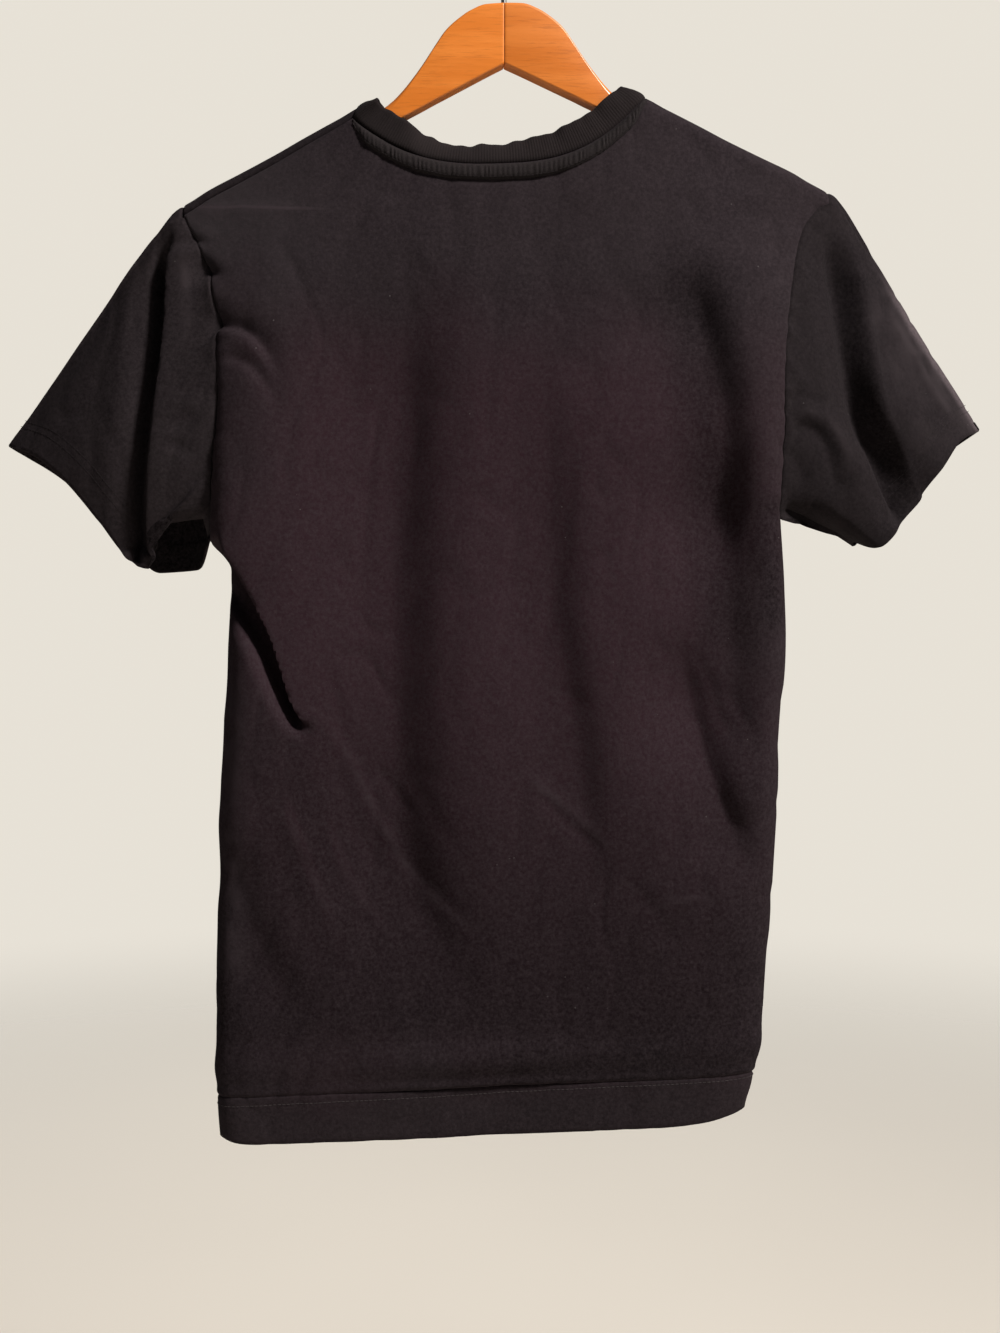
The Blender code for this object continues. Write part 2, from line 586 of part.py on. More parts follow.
def wire_ring(centre, ahead, radius, sides):
    """A round section across the way the wire goes, in the hook's own plane."""
    across = np.array([ahead[2], 0, -ahead[0]])
    ring = []
    for k in range(sides):
        angle = 2 * math.pi * k / sides
        ring.append(centre + radius * (across * math.cos(angle)
                                       + np.array([0, 1, 0]) * math.sin(angle)))
    return np.array(ring)


def hook_path():
    """The wire's middle line: up out of the wood, out to the side and round over the origin."""
    foot_z = ARM_ROWS[0][1]
    foot = np.array([HANGER_X, 0, foot_z - HOOK_SINK])
    neck = np.array([HANGER_X, 0, foot_z + HOOK_NECK])
    radius = HOOK_INSIDE + WIRE / 2
    angles = np.radians(np.linspace(HOOK_FROM, HOOK_TO, HOOK_STEPS))
    bow = [np.array([radius * math.cos(a), 0, radius * math.sin(a) - HOOK_INSIDE])
           for a in angles]
    leave = np.array([0, 0, 1.0])
    arrive = np.array([-math.sin(angles[0]), 0, math.cos(angles[0])])
    pull = np.linalg.norm(bow[0] - neck) * NECK_PULL
    bend = []
    for k in range(1, BEND_STEPS):
        u = k / BEND_STEPS
        bend.append(neck * (1 - u) ** 2 * (1 + 2 * u) + bow[0] * u * u * (3 - 2 * u)
                    + leave * pull * u * (1 - u) ** 2 - arrive * pull * u * u * (1 - u))
    return [foot, (foot + neck) / 2, neck] + bend + bow


def make_hanger():
    wood = plain_material("hanger_wood", (0.62, 0.21, 0.045), 0.42)
    steel = plain_material("hook_steel", (0.62, 0.62, 0.60), 0.28, metallic=1.0)

    path = hook_path()
    rings = []
    for k, point in enumerate(path):
        ahead = unit(path[min(k + 1, len(path) - 1)] - path[max(k - 1, 0)])
        rings.append(wire_ring(point, ahead, WIRE / 2, WIRE_SIDES))
    loft("hanger_hook", rings, steel)

    crest = ARM_ROWS[0][1]
    bore = []
    for z in (crest - HOOK_SINK - 2 * SEAM_GAP, crest + HOLE_RUN_OUT):
        centre = np.array([HANGER_X, 0, z])
        bore.append(wire_ring(centre, np.array([0, 0, 1.0]), HOOK_HOLE / 2, HOLE_SIDES))
    drill = loft("hook_hole", bore, wood)
    drill.hide_render = True
    drill.display_type = "WIRE"
    for name, side in (("hanger_arm_left", 1), ("hanger_arm_right", -1)):
        rows = [(max(x, SEAM_GAP / 2), top, low) for x, top, low in ARM_ROWS]
        rings = [arm_ring(x, top, low, side) for x, top, low in rows]
        if side > 0:
            rings = rings[::-1]
        arm = loft(name, [ring[::-1] for ring in rings], wood)
        cut = arm.modifiers.new("hook_hole", "BOOLEAN")
        cut.operation = "DIFFERENCE"
        cut.solver = "EXACT"
        cut.object = drill


for obj in list(bpy.data.objects):
    bpy.data.objects.remove(obj, do_unlink=True)
make_shirt()
make_hanger()
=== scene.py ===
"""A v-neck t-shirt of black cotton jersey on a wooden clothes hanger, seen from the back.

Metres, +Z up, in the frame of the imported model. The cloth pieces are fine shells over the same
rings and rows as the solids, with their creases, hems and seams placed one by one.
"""
import math

import bpy
import numpy as np
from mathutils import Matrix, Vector, noise


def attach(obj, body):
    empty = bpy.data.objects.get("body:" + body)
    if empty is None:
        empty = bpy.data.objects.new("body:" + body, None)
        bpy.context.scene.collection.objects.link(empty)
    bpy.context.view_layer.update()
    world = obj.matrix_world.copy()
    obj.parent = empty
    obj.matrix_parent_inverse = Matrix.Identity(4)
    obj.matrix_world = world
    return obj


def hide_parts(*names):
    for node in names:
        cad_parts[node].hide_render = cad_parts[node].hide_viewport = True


noise.seed_set(4)        # noise vectors would otherwise follow the clock
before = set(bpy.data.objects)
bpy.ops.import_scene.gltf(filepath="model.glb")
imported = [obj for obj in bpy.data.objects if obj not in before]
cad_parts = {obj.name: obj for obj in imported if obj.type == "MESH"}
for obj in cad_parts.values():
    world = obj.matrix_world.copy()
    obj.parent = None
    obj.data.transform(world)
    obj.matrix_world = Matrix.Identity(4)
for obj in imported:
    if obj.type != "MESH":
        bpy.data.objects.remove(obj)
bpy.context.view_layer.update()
MM = 0.001

# ---------------------------------------------------------------- the form, as in the solids
LEAN = 0.0419            # drop per metre of +X: the right arm of the hanger rides higher
WRAP = 0.0087            # radius of the cloth over the hanger's round top
QUARTER_WRAP = WRAP * math.pi / 2
DRAPE_LENGTH = 0.050
HANGER_X = 0.0015
ARM_DEPTH = 0.014
ARM_SWEEP = 0.35
ARM_TOP_ROUND = 0.0068
ARM_CRISP_ROUND = 0.0022     # of the top edge near the middle
ARM_LOW_ROUND = 0.0016
LOW_ROUND_SHARE, TOP_ROUND_SHARE = 0.35, 0.55
# distance from the middle, top edge, lower edge
ARM_ROWS = [
    (0.0000, -0.0731, -0.1127), (0.0120, -0.0737, -0.1184), (0.0220, -0.0773, -0.1233),
    (0.0300, -0.0824, -0.1272), (0.0380, -0.0893, -0.1311), (0.0455, -0.0996, -0.1347),
    (0.0530, -0.1106, -0.1385), (0.0600, -0.1197, -0.1419), (0.0670, -0.1276, -0.1454),
    (0.0735, -0.1335, -0.1488), (0.0810, -0.1384, -0.1527), (0.0920, -0.1431, -0.1585),
    (0.1080, -0.1487, -0.1671), (0.1225, -0.1537, -0.1743), (0.1350, -0.1584, -0.1803),
    (0.1470, -0.1641, -0.1865), (0.1600, -0.1703, -0.1932), (0.1740, -0.1768, -0.2002),
    (0.1860, -0.1823, -0.2059), (0.1950, -0.1866, -0.2100), (0.2010, -0.1924, -0.2141),
    (0.2050, -0.1965, -0.2164), (0.2080, -0.1999, -0.2159), (0.2095, -0.2045, -0.2130),
]
CREST = ARM_ROWS[0][1]   # top of the wood, at its middle
WIRE = 0.0035
WIRE_SIDES, HOLE_SIDES = 20, 24
HOOK_INSIDE = 0.019
HOOK_SINK = 0.016
HOOK_HOLE = 0.0043
HOOK_NECK = 0.028
HOOK_FROM, HOOK_TO = -38.0, 205.0
NECK_PULL = 0.9

# cloth's top line over the hanger: distance from the middle, height
RIDGE = [
    (0.0000, -0.1325), (0.0600, -0.1329), (0.0800, -0.1332), (0.0905, -0.1346), (0.1080, -0.1430),
    (0.1225, -0.1501), (0.1350, -0.1563), (0.1470, -0.1625), (0.1600, -0.1687),
    (0.1740, -0.1752), (0.1950, -0.1848), (0.2050, -0.1905), (0.2175, -0.1969),
    (0.2300, -0.2051),
]
NECK_X = 0.0040
NECK_HALF = 0.0965
NECK_BACK_DROP = 0.0498
NECK_BACK_POWER = 2.6
NECK_FULL_LEFT, NECK_FULL_RIGHT = 0.78, 0.94
NECK_FRONT_DROP = 0.1333
NECK_FRONT_POWER = 0.93
NECK_STEEP, NECK_STEEP_POWER = 0.1, 0.45     # the part of that drop beside the shoulder
TIP_LEFT, TIP_RIGHT = 0.2135, -0.2180
SEAM_BEHIND_LEFT, SEAM_BEHIND_RIGHT = 0.0120, 0.0020
UNDERARM = -0.4160
HEM = -0.8275
HEM_CORNER_LEFT, HEM_CORNER_RIGHT = 0.0060, 0.0095      # rise of the hem at its corners
HEM_CORNER_HEIGHT = 0.030
FLAT_SHARE = 0.93        # flat width of a panel, as a share of its width on the ridge
# height, left edge, right edge, then the depths y: back middle, back edge, front middle,
# front edge, and the power that rounds the edge
BODY = [
    (-0.130, 0.2135, -0.2180, 0.0090, -0.0085, -0.0120, -0.0245, 1.00),
    (-0.195, 0.2135, -0.2180, 0.0120, -0.0085, -0.0300, -0.0290, 1.00),
    (-0.225, 0.2015, -0.1985, 0.0135, -0.0025, -0.0370, -0.0400, 1.00),
    (-0.260, 0.1912, -0.1895, 0.0158, 0.0045, -0.0430, -0.0500, 0.90),
    (-0.310, 0.1888, -0.1838, 0.0186, 0.0095, -0.0490, -0.0560, 0.72),
    (-0.360, 0.1925, -0.1832, 0.0203, 0.0070, -0.0530, -0.0500, 0.60),
    (-0.400, 0.1955, -0.1830, 0.0210, 0.0020, -0.0550, -0.0300, 0.53),
    (-0.416, 0.1966, -0.1838, 0.0212, -0.0030, -0.0555, -0.0030, 0.50),
    (-0.437, 0.1862, -0.1852, 0.0213, -0.0040, -0.0560, -0.0040, 0.50),
    (-0.460, 0.1848, -0.1868, 0.0213, -0.0045, -0.0560, -0.0045, 0.50),
    (-0.510, 0.1873, -0.1886, 0.0210, -0.0050, -0.0556, -0.0050, 0.50),
    (-0.560, 0.1898, -0.1856, 0.0200, -0.0058, -0.0550, -0.0058, 0.50),
    (-0.670, 0.1980, -0.1800, 0.0145, -0.0070, -0.0520, -0.0070, 0.50),
    (-0.770, 0.1966, -0.1722, 0.0065, -0.0090, -0.0490, -0.0090, 0.50),
    (-0.830, 0.1946, -0.1636, 0.0000, -0.0100, -0.0470, -0.0100, 0.50),
]
BACK_FLAT_LEFT, BACK_FLAT_RIGHT = 16.0, 7.0
SWING_LEFT, SWING_RIGHT = -0.006, 0.010    # how far the sides swing forward and back
SWING_LEFT_FROM, SWING_RIGHT_FROM, SWING_GROWTH = -0.50, -0.20, 0.15
FOLD_FADE = 0.25
FOLD_START = 0.060
FOLD_EDGE_POWER = 10
# the front's largest folds: x and z of the start and of the end, depth, reach towards -X and +X
FRONT_FOLDS = [
    (0.092, -0.270, 0.070, -0.760, 0.0080, 0.020, 0.018),
    (-0.084, -0.280, -0.066, -0.740, 0.0080, 0.018, 0.022),
    (0.004, -0.330, 0.006, -0.640, -0.0050, 0.022, 0.022),
    (0.150, -0.320, 0.128, -0.560, 0.0050, 0.014, 0.014),
    (-0.146, -0.320, -0.132, -0.540, 0.0055, 0.014, 0.014),
]
# sleeve hems, all round: share of the way round, x, y, z (0 at the top, 0.5 under the arm)
SLEEVE_HEMS = {"left": [
    (0.00, 0.3381, -0.0500, -0.3448), (0.06, 0.3195, -0.0350, -0.3520),
    (0.14, 0.2965, -0.0240, -0.3702), (0.22, 0.2725, -0.0160, -0.3985),
    (0.30, 0.2510, -0.0120, -0.4265), (0.36, 0.2400, -0.0150, -0.4320),
    (0.41, 0.2300, -0.0040, -0.4045), (0.46, 0.2010, -0.0050, -0.4000),
    (0.50, 0.2010, -0.0300, -0.4120), (0.55, 0.2050, -0.0500, -0.4230),
    (0.60, 0.2120, -0.0640, -0.4340), (0.68, 0.2400, -0.0780, -0.4350),
    (0.78, 0.2680, -0.0820, -0.4080), (0.90, 0.3060, -0.0720, -0.3680),
], "right": [
    (0.00, -0.3360, -0.0460, -0.3590), (0.08, -0.3155, -0.0220, -0.3670),
    (0.17, -0.2970, -0.0100, -0.3880), (0.24, -0.2840, -0.0140, -0.4050),
    (0.32, -0.2720, -0.0040, -0.4210), (0.42, -0.2540, -0.0060, -0.4380),
    (0.50, -0.2430, -0.0260, -0.4330), (0.58, -0.2510, -0.0560, -0.4360),
    (0.68, -0.2620, -0.0740, -0.4310), (0.80, -0.2850, -0.0800, -0.4080),
    (0.92, -0.3180, -0.0640, -0.3740),
]}
SLEEVE_HEADS = {"left": (0.0065, 0.20), "right": (0.0040, 0.10)}     # rise, and where
SLEEVE_HEAD_OUT = 0.35
SLEEVE_PUFF = 0.0060
RIB_WIDTH = 0.0172
RIB_STAND = 0.20
RIB_CLEAR = 0.0010
RIB_HANG = 0.0040
TAPE_FROM, TAPE_TO = 0.0010, 0.0108

# ---------------------------------------------------------------- cloth
JERSEY = 0.0009          # real thickness of the jersey
RIB = 0.0016             # of the folded neck band
HEM_BAND = 0.0341        # depth of the body hem
HEM_LINE = HEM + HEM_BAND
HEM_ROLL_FROM = -0.70
SLEEVE_BAND = 0.0220     # depth of the sleeve hems
SLEEVE_GROOVE = 0.00008  # how far their stitch line sinks
PUCKER = 0.0012          # height of the puckers at a seam
PUCKERS_END = 0.020
SEAM_DIP = 0.0010        # how far a seam sinks
SEAM_HALF = 0.0010       # how wide the dip is on each side
SEAM_CALM = 0.012        # how far from a seam the folds set in
SIDE_CARRY = 0.02        # how far from a side seam the front follows the back's folds
SEAM_STEPS = (0.0005, 0.0011, 0.0019, 0.0030)
HEM_STEPS = (4.0, 2.7, 1.8, 1.1, 0.5, 0.0, -0.6, -1.4, -3.0)     # mm above its stitch line
HEM_NEAR = 0.0055        # where the rows above and below those steps start
HEM_ROWS = 10
NECK_COLUMNS = 36
SHOULDER_COLUMNS = 42
UPPER_ROWS = 104
LOWER_STEP = 0.0027
SLEEVE_RINGS = 66
CLOTH_SHARP = 50         # degrees from which an edge is shaded sharp
HEM_EXTRA = 0.00042      # how much thicker each half of a turned-up hem is
HEM_STITCHES_DOWN, HEM_STITCHES_LEAN = 0.0042, 0.0105     # its stitches below its line
SLEEVE_STITCHES_DOWN = (0.0012, 0.0062)
TAPE_GROOVE, TAPE_GROOVE_HALF, TAPE_GROOVE_DOWN = 0.0010, 0.0011, 0.0007     # under its edge
STITCH_LIFT = 0.00005    # middle of a stitch above the cloth
STITCH_POINTS = 400      # points of a line of stitches
SLEEVE_SEAM_SHARES = (0.0, 0.003, 0.006, 0.010, 0.016)     # rings at the armhole seam
SLEEVE_NEXT_SHARE = 0.028
SLEEVE_START = 0.05      # share of a sleeve over which its folds set in
ARMHOLE_SMOOTHING = 60
ARMHOLE_FADE = 0.07      # share of a sleeve over which the armhole's unevenness fades
SLEEVE_CREST_HIGHLIGHT = ((1.8, 0.028), (4.0, 0.007))      # strength of the painted highlight along the right one's top fold, and its reach
SLEEVE_CREST_HIGHLIGHT_FROM, SLEEVE_CREST_HIGHLIGHT_FULL = 0.22, 0.57

# each piece's creases: depth, reach on each side, power, fades at the start and the end, points
# (x, z). All but the power and the fades in millimetres. A depth below nought is a ridge. Going
# down, the first reach is on the -X side and the second on the +X side.
CREASES = {
    "back": [
        # long soft valleys down the back
        (16.5, 26, 60, 2.0, 0.24, 0.3,
         [(66, -215), (72, -330), (77, -424), (77, -516), (76, -608), (66, -654), (52, -700),
          (38, -740), (22, -780)]),
        (7.5, 15, 38, 2.0, 0.40, 0.3,
         [(-18, -286), (-25, -378), (-29, -470), (-36, -516), (-44, -562), (-48, -608),
          (-53, -650), (-62, -690)]),
        (12.0, 16, 50, 2.0, 0.20, 0.35,
         [(-112, -240), (-127, -286), (-138, -332), (-143, -378), (-148, -430), (-152, -480)]),
        (16.0, 27, 50, 2.0, 0.30, 0.3,
         [(-128, -350), (-138, -410), (-143, -460), (-146, -510), (-149, -560), (-154, -610)]),
        (10.0, 13, 34, 1.9, 0.30, 0.3,
         [(-104, -480), (-116, -516), (-128, -562), (-141, -600), (-156, -640), (-166, -670)]),
        (1.6, 4, 8, 1.6, 0.3, 0.4, [(-134, -512), (-138, -530), (-148, -556), (-158, -568)]),
        (1.4, 4, 9, 1.6, 0.3, 0.4, [(-138, -592), (-150, -612), (-166, -634)]),
        # pressed shoulder crease
        (-0.8, 2.5, 7, 1.3, 0.1, 0.6, [(207, -196), (175, -199), (142, -201), (106, -204)]),
        # left armhole, pulled into notches
        (6.0, 5, 3.5, 1.6, 0.0, 0.7, [(204, -232), (197, -239), (190, -241), (183, -237)]),
        (3.0, 3, 3, 1.6, 0.0, 0.6, [(208, -215), (201, -219), (194, -219)]),
        (-0.9, 5, 5, 1.8, 0.0, 0.6, [(202, -250), (190, -254), (176, -256)]),
        (5.2, 8, 2.6, 1.6, 0.0, 0.7,
         [(198, -277), (190, -276), (181, -277), (173, -279), (166, -284), (159, -292),
          (152, -306), (146, -325)]),
        (2.6, 6, 4, 1.8, 0.2, 0.6,
         [(190, -296), (178, -298), (169, -302), (162, -309), (154, -322), (147, -340)]),
        # below the armhole and down the left side
        (5.5, 15, 26, 2.0, 0.3, 0.4,
         [(188, -596), (184, -640), (172, -680), (152, -722), (126, -760)]),
        (-1.2, 8, 9, 1.8, 0.3, 0.5, [(150, -580), (138, -620), (122, -664), (112, -700)]),
        # old fold marks low on the back
        (-0.9, 3, 7, 1.3, 0.2, 0.3, [(-12, -572), (-24, -590), (-48, -611), (-74, -636)]),
        (1.1, 5, 4, 1.6, 0.2, 0.3, [(-18, -590), (-44, -617), (-70, -641)]),
        (1.0, 6, 7, 1.7, 0.3, 0.5, [(-72, -646), (-89, -664), (-102, -682), (-123, -715)]),
        (-0.6, 3, 4, 1.5, 0.3, 0.4, [(-100, -672), (-120, -668), (-146, -672)]),
        (-0.8, 3, 8, 1.4, 0.3, 0.5,
         [(137, -517), (112, -552), (76, -627), (44, -666), (24, -682), (-8, -704)]),
        (0.9, 6, 5, 1.6, 0.3, 0.5, [(96, -611), (58, -649), (25, -681), (6, -716)]),
        (0.8, 6, 6, 1.6, 0.4, 0.5, [(124, -560), (108, -590), (98, -620), (70, -668)]),
        (-0.6, 4, 6, 1.5, 0.4, 0.5, [(120, -590), (114, -626), (96, -664), (62, -706)]),
        (1.0, 4, 6, 1.5, 0.3, 0.5, [(92, -566), (76, -588), (60, -606), (48, -610)]),
        # small drags at the right armhole
        (1.0, 7, 8, 1.8, 0.3, 0.5, [(-190, -245), (-172, -236), (-150, -238)]),
        (-0.9, 8, 8, 1.8, 0.3, 0.5, [(-191, -262), (-176, -262), (-160, -276)]),
    ],
    "front": [
        (1.8, 10, 12, 2.0, 0.2, 0.3, [(62, -265), (58, -360), (50, -500), (48, -640)]),
        (1.6, 12, 10, 2.0, 0.2, 0.3, [(-50, -265), (-52, -380), (-44, -520), (-40, -660)]),
        (-1.2, 9, 9, 1.8, 0.2, 0.4, [(30, -300), (24, -420), (26, -560)]),
        (2.2, 7, 8, 1.6, 0.1, 0.6, [(188, -330), (160, -350), (126, -392)]),
        (-1.4, 7, 8, 1.8, 0.1, 0.6, [(186, -350), (158, -372), (128, -416)]),
        (2.0, 8, 7, 1.6, 0.1, 0.6, [(-186, -336), (-160, -356), (-128, -400)]),
        (-1.4, 8, 8, 1.8, 0.1, 0.6, [(-184, -356), (-158, -380), (-130, -424)]),
        (1.5, 6, 8, 1.7, 0.2, 0.5, [(184, -440), (158, -470), (132, -520), (118, -575)]),
        (1.6, 8, 6, 1.7, 0.2, 0.5, [(-184, -436), (-160, -462), (-138, -514), (-128, -580)]),
        (-0.9, 4, 8, 1.4, 0.3, 0.5, [(110, -560), (70, -600), (30, -650), (0, -668)]),
        (1.0, 6, 6, 1.6, 0.3, 0.5, [(-20, -560), (-58, -604), (-100, -640), (-130, -700)]),
        (1.1, 7, 9, 1.7, 0.2, 0.5, [(95, -200), (70, -230), (36, -262)]),
        (1.1, 9, 7, 1.7, 0.2, 0.5, [(-88, -200), (-64, -232), (-30, -264)]),
    ],
    "left_sleeve": [
        (1.5, 5, 6, 1.6, 0.3, 0.5, [(204, -330), (214, -338), (226, -336)]),
        (1.2, 5, 5, 1.6, 0.3, 0.5, [(204, -360), (216, -352), (230, -352)]),
        (10.0, 3, 4, 2.0, 0.06, 0.02,
         [(227, -198), (229, -226), (230.5, -250), (232, -275), (235, -300), (239, -325),
          (242.5, -350), (245.5, -380), (247, -430)]),
        (-1.0, 4, 5, 1.5, 0.2, 0.5, [(212, -214), (209, -250), (208, -290)]),
    ],
    "right_sleeve": [
        (2.4, 5, 6, 1.6, 0.1, 0.4,
         [(-186, -357), (-198, -357), (-208, -363), (-215, -376), (-220, -393), (-229, -406)]),
        (-1.6, 6, 6, 1.8, 0.2, 0.5,
         [(-188, -346), (-202, -348), (-216, -356), (-226, -374), (-232, -396)]),
        (-1.0, 5, 6, 1.6, 0.3, 0.2,
         [(-256, -268), (-272, -295), (-286, -318), (-302, -342), (-314, -358)]),
        (1.6, 5, 7, 1.7, 0.1, 0.5, [(-188, -334), (-200, -338), (-214, -342)]),
        (1.2, 5, 6, 1.7, 0.2, 0.5, [(-189, -376), (-196, -386), (-199, -402)]),
    ],
}

# painted light and shade, paler where lit and, below nought, darker where shaded: how much, how
# far from its line in millimetres, the line's points (x, z)
PAINTED_LIGHT_AND_SHADE = {
    "back": [
        (-0.45, 24, [(-122, -262), (-128, -330), (-134, -378), (-139, -438), (-143, -484)]),
        (-0.60, 12, [(-177, -412), (-178, -440), (-179, -478)]),
        (-0.28, 26, [(140, -556), (138, -600), (136, -640)]),
        (-0.30, 15, [(-160, -548), (-162, -568), (-164, -590)]),
        (-0.13, 45, [(106, -600), (100, -640), (92, -690)]),
        (0.9, 9, [(184, -520), (183, -600), (184, -660), (186, -700)]),
    ],
    "left_sleeve": [
        (-0.9, 2.4, [(228, -199), (230, -214), (231, -232), (232, -250)]),
    ],
    "right_sleeve": [
        (-0.50, 6, [(-235, -260), (-236, -294), (-247, -344), (-262, -377), (-274, -401)]),
        (0.8, 13, [(-254, -285), (-267, -320), (-281, -350), (-291, -378)]),
    ],
}
INSIDE_PAINTED_SHADE = -0.85      # painted shade on the inside faces
ROUND_EDGE = 0.9         # how far a round edge stands out, as a share of half the thickness

# each piece's folds that hang over: points (x, z) of the edge, how far it hangs over, tuck
# behind it, depth, widths of the edge's fall, of the valley, of its steep and its slow rise,
# share of the depth that the steep one makes up, fades at the start and the end, and how much
# narrower the valley gets on its way. Lengths in millimetres.
LIPS = {
    "back": [
        ([(196, -412), (184, -430), (173, -449), (166, -463), (157, -483), (148, -514),
          (143, -530), (138, -541), (126, -546)], 7, 4, 20, 6, 12, 10, 22, 0.6, 0.10, 0.22, 0.75),
    ],
    "left_sleeve": [
        ([(223, -198), (225, -226), (226, -250), (227, -275), (230, -300), (233.5, -325),
          (236.5, -350), (239, -380), (241, -425)], 6, 4, 12, 4, 0, 5, 30, 0.35, 0.16, 0.03, 0.0),
    ],
    "right_sleeve": [
        ([(-234, -214), (-238, -232), (-242, -255), (-245, -280), (-248, -305), (-252, -332),
          (-258, -350), (-267, -364), (-275, -382), (-283, -402),
          (-292, -425)], -3, 0, 15, 17, 0, 10, 28, 0.6, 0.22, 0.10, 0.3),
    ],
}


class Track:
    """A table's column, read between its rows along a cubic that doesn't overshoot."""

    def __init__(self, rows, column):
        rows = sorted(rows)
        self.x = np.array([row[0] for row in rows])
        self.y = np.array([row[column] for row in rows])
        self.step = np.diff(self.x)
        rise = np.diff(self.y) / self.step
        self.slope = np.zeros(len(rows))
        for k in range(1, len(rows) - 1):
            if rise[k - 1] * rise[k] > 0:
                self.slope[k] = 2 * rise[k - 1] * rise[k] / (rise[k - 1] + rise[k])
        self.slope[0], self.slope[-1] = rise[0], rise[-1]

    def __call__(self, at):
        at = np.clip(at, self.x[0], self.x[-1])
        k = np.clip(np.searchsorted(self.x, at, side="right") - 1, 0, len(self.x) - 2)
        u = (at - self.x[k]) / self.step[k]
        return (self.y[k] * (1 + 2 * u) * (1 - u) ** 2 + self.y[k + 1] * u * u * (3 - 2 * u)
                + self.step[k] * (self.slope[k] * u * (1 - u) ** 2
                                  - self.slope[k + 1] * u * u * (1 - u)))


def ease(x):
    x = np.clip(x, 0.0, 1.0)
    return x * x * (3 - 2 * x)


def lean(points):
    points = np.array(points, float)
    points[..., 2] -= LEAN * points[..., 0]
    return points


def unit(v):
    return v / np.maximum(np.linalg.norm(v, axis=-1, keepdims=True), 1e-12)


ridge_track = Track(RIDGE, 1)
left_edge, right_edge, back_middle, back_edge, front_middle, front_edge, edge_power = (
    Track(BODY, k) for k in range(1, 8))
arm_top, arm_low = Track(ARM_ROWS, 1), Track(ARM_ROWS, 2)


def ridge_height(x):
    return ridge_track(np.abs(x - HANGER_X))


def ridge_y(x):
    return -ARM_SWEEP * (x - HANGER_X) ** 2


def seam_behind(x):
    share = (x - TIP_RIGHT) / (TIP_LEFT - TIP_RIGHT)
    return SEAM_BEHIND_RIGHT + (SEAM_BEHIND_LEFT - SEAM_BEHIND_RIGHT) * ease(share)


def fold_depth(panel, x, z):
    """How far the largest folds push a panel inwards."""
    depth = np.zeros_like(x)
    folds = FRONT_FOLDS if panel == "front" else []
    for x0, z0, x1, z1, deep, reach_minus, reach_plus in folds:
        along = (z - z0) / (z1 - z0)
        away = x - (x0 + (x1 - x0) * along)
        reach = np.where(away > 0, reach_plus, reach_minus)
        fade = ease(along / FOLD_FADE) * ease((1 - along) / FOLD_FADE)
        depth += deep * fade * np.exp(-(away / reach) ** 2)
    return depth


def top_reach(panel, x):
    """Where a panel starts, as arc length below the ridge, on the column at x."""
    behind = seam_behind(x)
    off = np.minimum(np.abs(x - NECK_X) / NECK_HALF, 1.0)
    if panel == "back":
        full = np.where(x > NECK_X, NECK_FULL_LEFT, NECK_FULL_RIGHT)
        return behind + (NECK_BACK_DROP - behind) * (1 - off ** NECK_BACK_POWER) ** full
    rise = ((1 - NECK_STEEP) * (1 - off) ** NECK_FRONT_POWER
            + NECK_STEEP * (1 - off) ** NECK_STEEP_POWER)
    return -behind + (NECK_FRONT_DROP + behind) * rise


def reach_of_height(x, z):
    return ridge_height(x) - WRAP - z + QUARTER_WRAP


def body_depth(panel, s, z):
    middle, edge = (back_middle, back_edge) if panel == "back" else (front_middle, front_edge)
    middle, edge, power = middle(z), edge(z), edge_power(z)
    flat = 1 + 1 / power
    if panel == "back":
        flat = flat + np.where(s > 0, BACK_FLAT_LEFT, BACK_FLAT_RIGHT)
    swing = (SWING_RIGHT * ease(-s) * ease((SWING_RIGHT_FROM - z) / SWING_GROWTH)
             + SWING_LEFT * ease((s - 0.15) / 0.75) * ease((SWING_LEFT_FROM - z) / SWING_GROWTH))
    return swing + edge + (middle - edge) * np.maximum(1 - np.abs(s) ** flat, 0.0) ** power


def panel_point(panel, x_top, reach):
    """Points of a panel on the columns that start at x_top, that far down the cloth."""
    side = 1 if panel == "back" else -1
    s = (x_top - (TIP_LEFT + TIP_RIGHT) / 2) / ((TIP_LEFT - TIP_RIGHT) / 2)
    top = ridge_height(x_top)
    angle = np.minimum(reach, QUARTER_WRAP) / WRAP
    over = np.stack([x_top, ridge_y(x_top) + side * WRAP * np.sin(angle),
                     top - WRAP * (1 - np.cos(angle))], axis=-1)
    below = np.maximum(reach - QUARTER_WRAP, 0.0)
    z = top - WRAP - below
    left, right = left_edge(z), right_edge(z)
    x = (left + right) / 2 + s * (left - right) / 2
    start = ridge_y(x_top) + side * WRAP - body_depth(panel, s, top - WRAP)
    y = body_depth(panel, s, z) + start * np.exp(-(below / DRAPE_LENGTH) ** 2)
    inner = (1 - np.abs(s) ** FOLD_EDGE_POWER) * ease(below / FOLD_START)
    corner = HEM_CORNER_LEFT * np.maximum(s, 0) ** 16 + HEM_CORNER_RIGHT * np.maximum(-s, 0) ** 8
    corner = corner * ease((HEM + HEM_CORNER_HEIGHT - z) / HEM_CORNER_HEIGHT)
    free = np.stack([x, y - side * fold_depth(panel, x, z) * inner, z + corner], axis=-1)
    return np.where((reach < QUARTER_WRAP)[..., None], over, free)


def columns():
    """The x of each column on the ridge, from the right armhole to the left one."""
    neck = [math.sin(math.pi / 2 * k / NECK_COLUMNS) for k in range(NECK_COLUMNS + 1)]
    out = [k / SHOULDER_COLUMNS for k in range(1, SHOULDER_COLUMNS + 1)]
    width = TIP_LEFT - NECK_X - NECK_HALF
    out = out[:-2] + [1 - step / width for step in SEAM_STEPS[::-1]] + [1.0]
    left = [NECK_X + NECK_HALF * k for k in neck]
    right = [NECK_X - NECK_HALF * k for k in neck]
    left += [left[-1] * (1 - k) + TIP_LEFT * k for k in out]
    right += [right[-1] * (1 - k) + TIP_RIGHT * k for k in out]
    return np.array(right[:0:-1] + left)


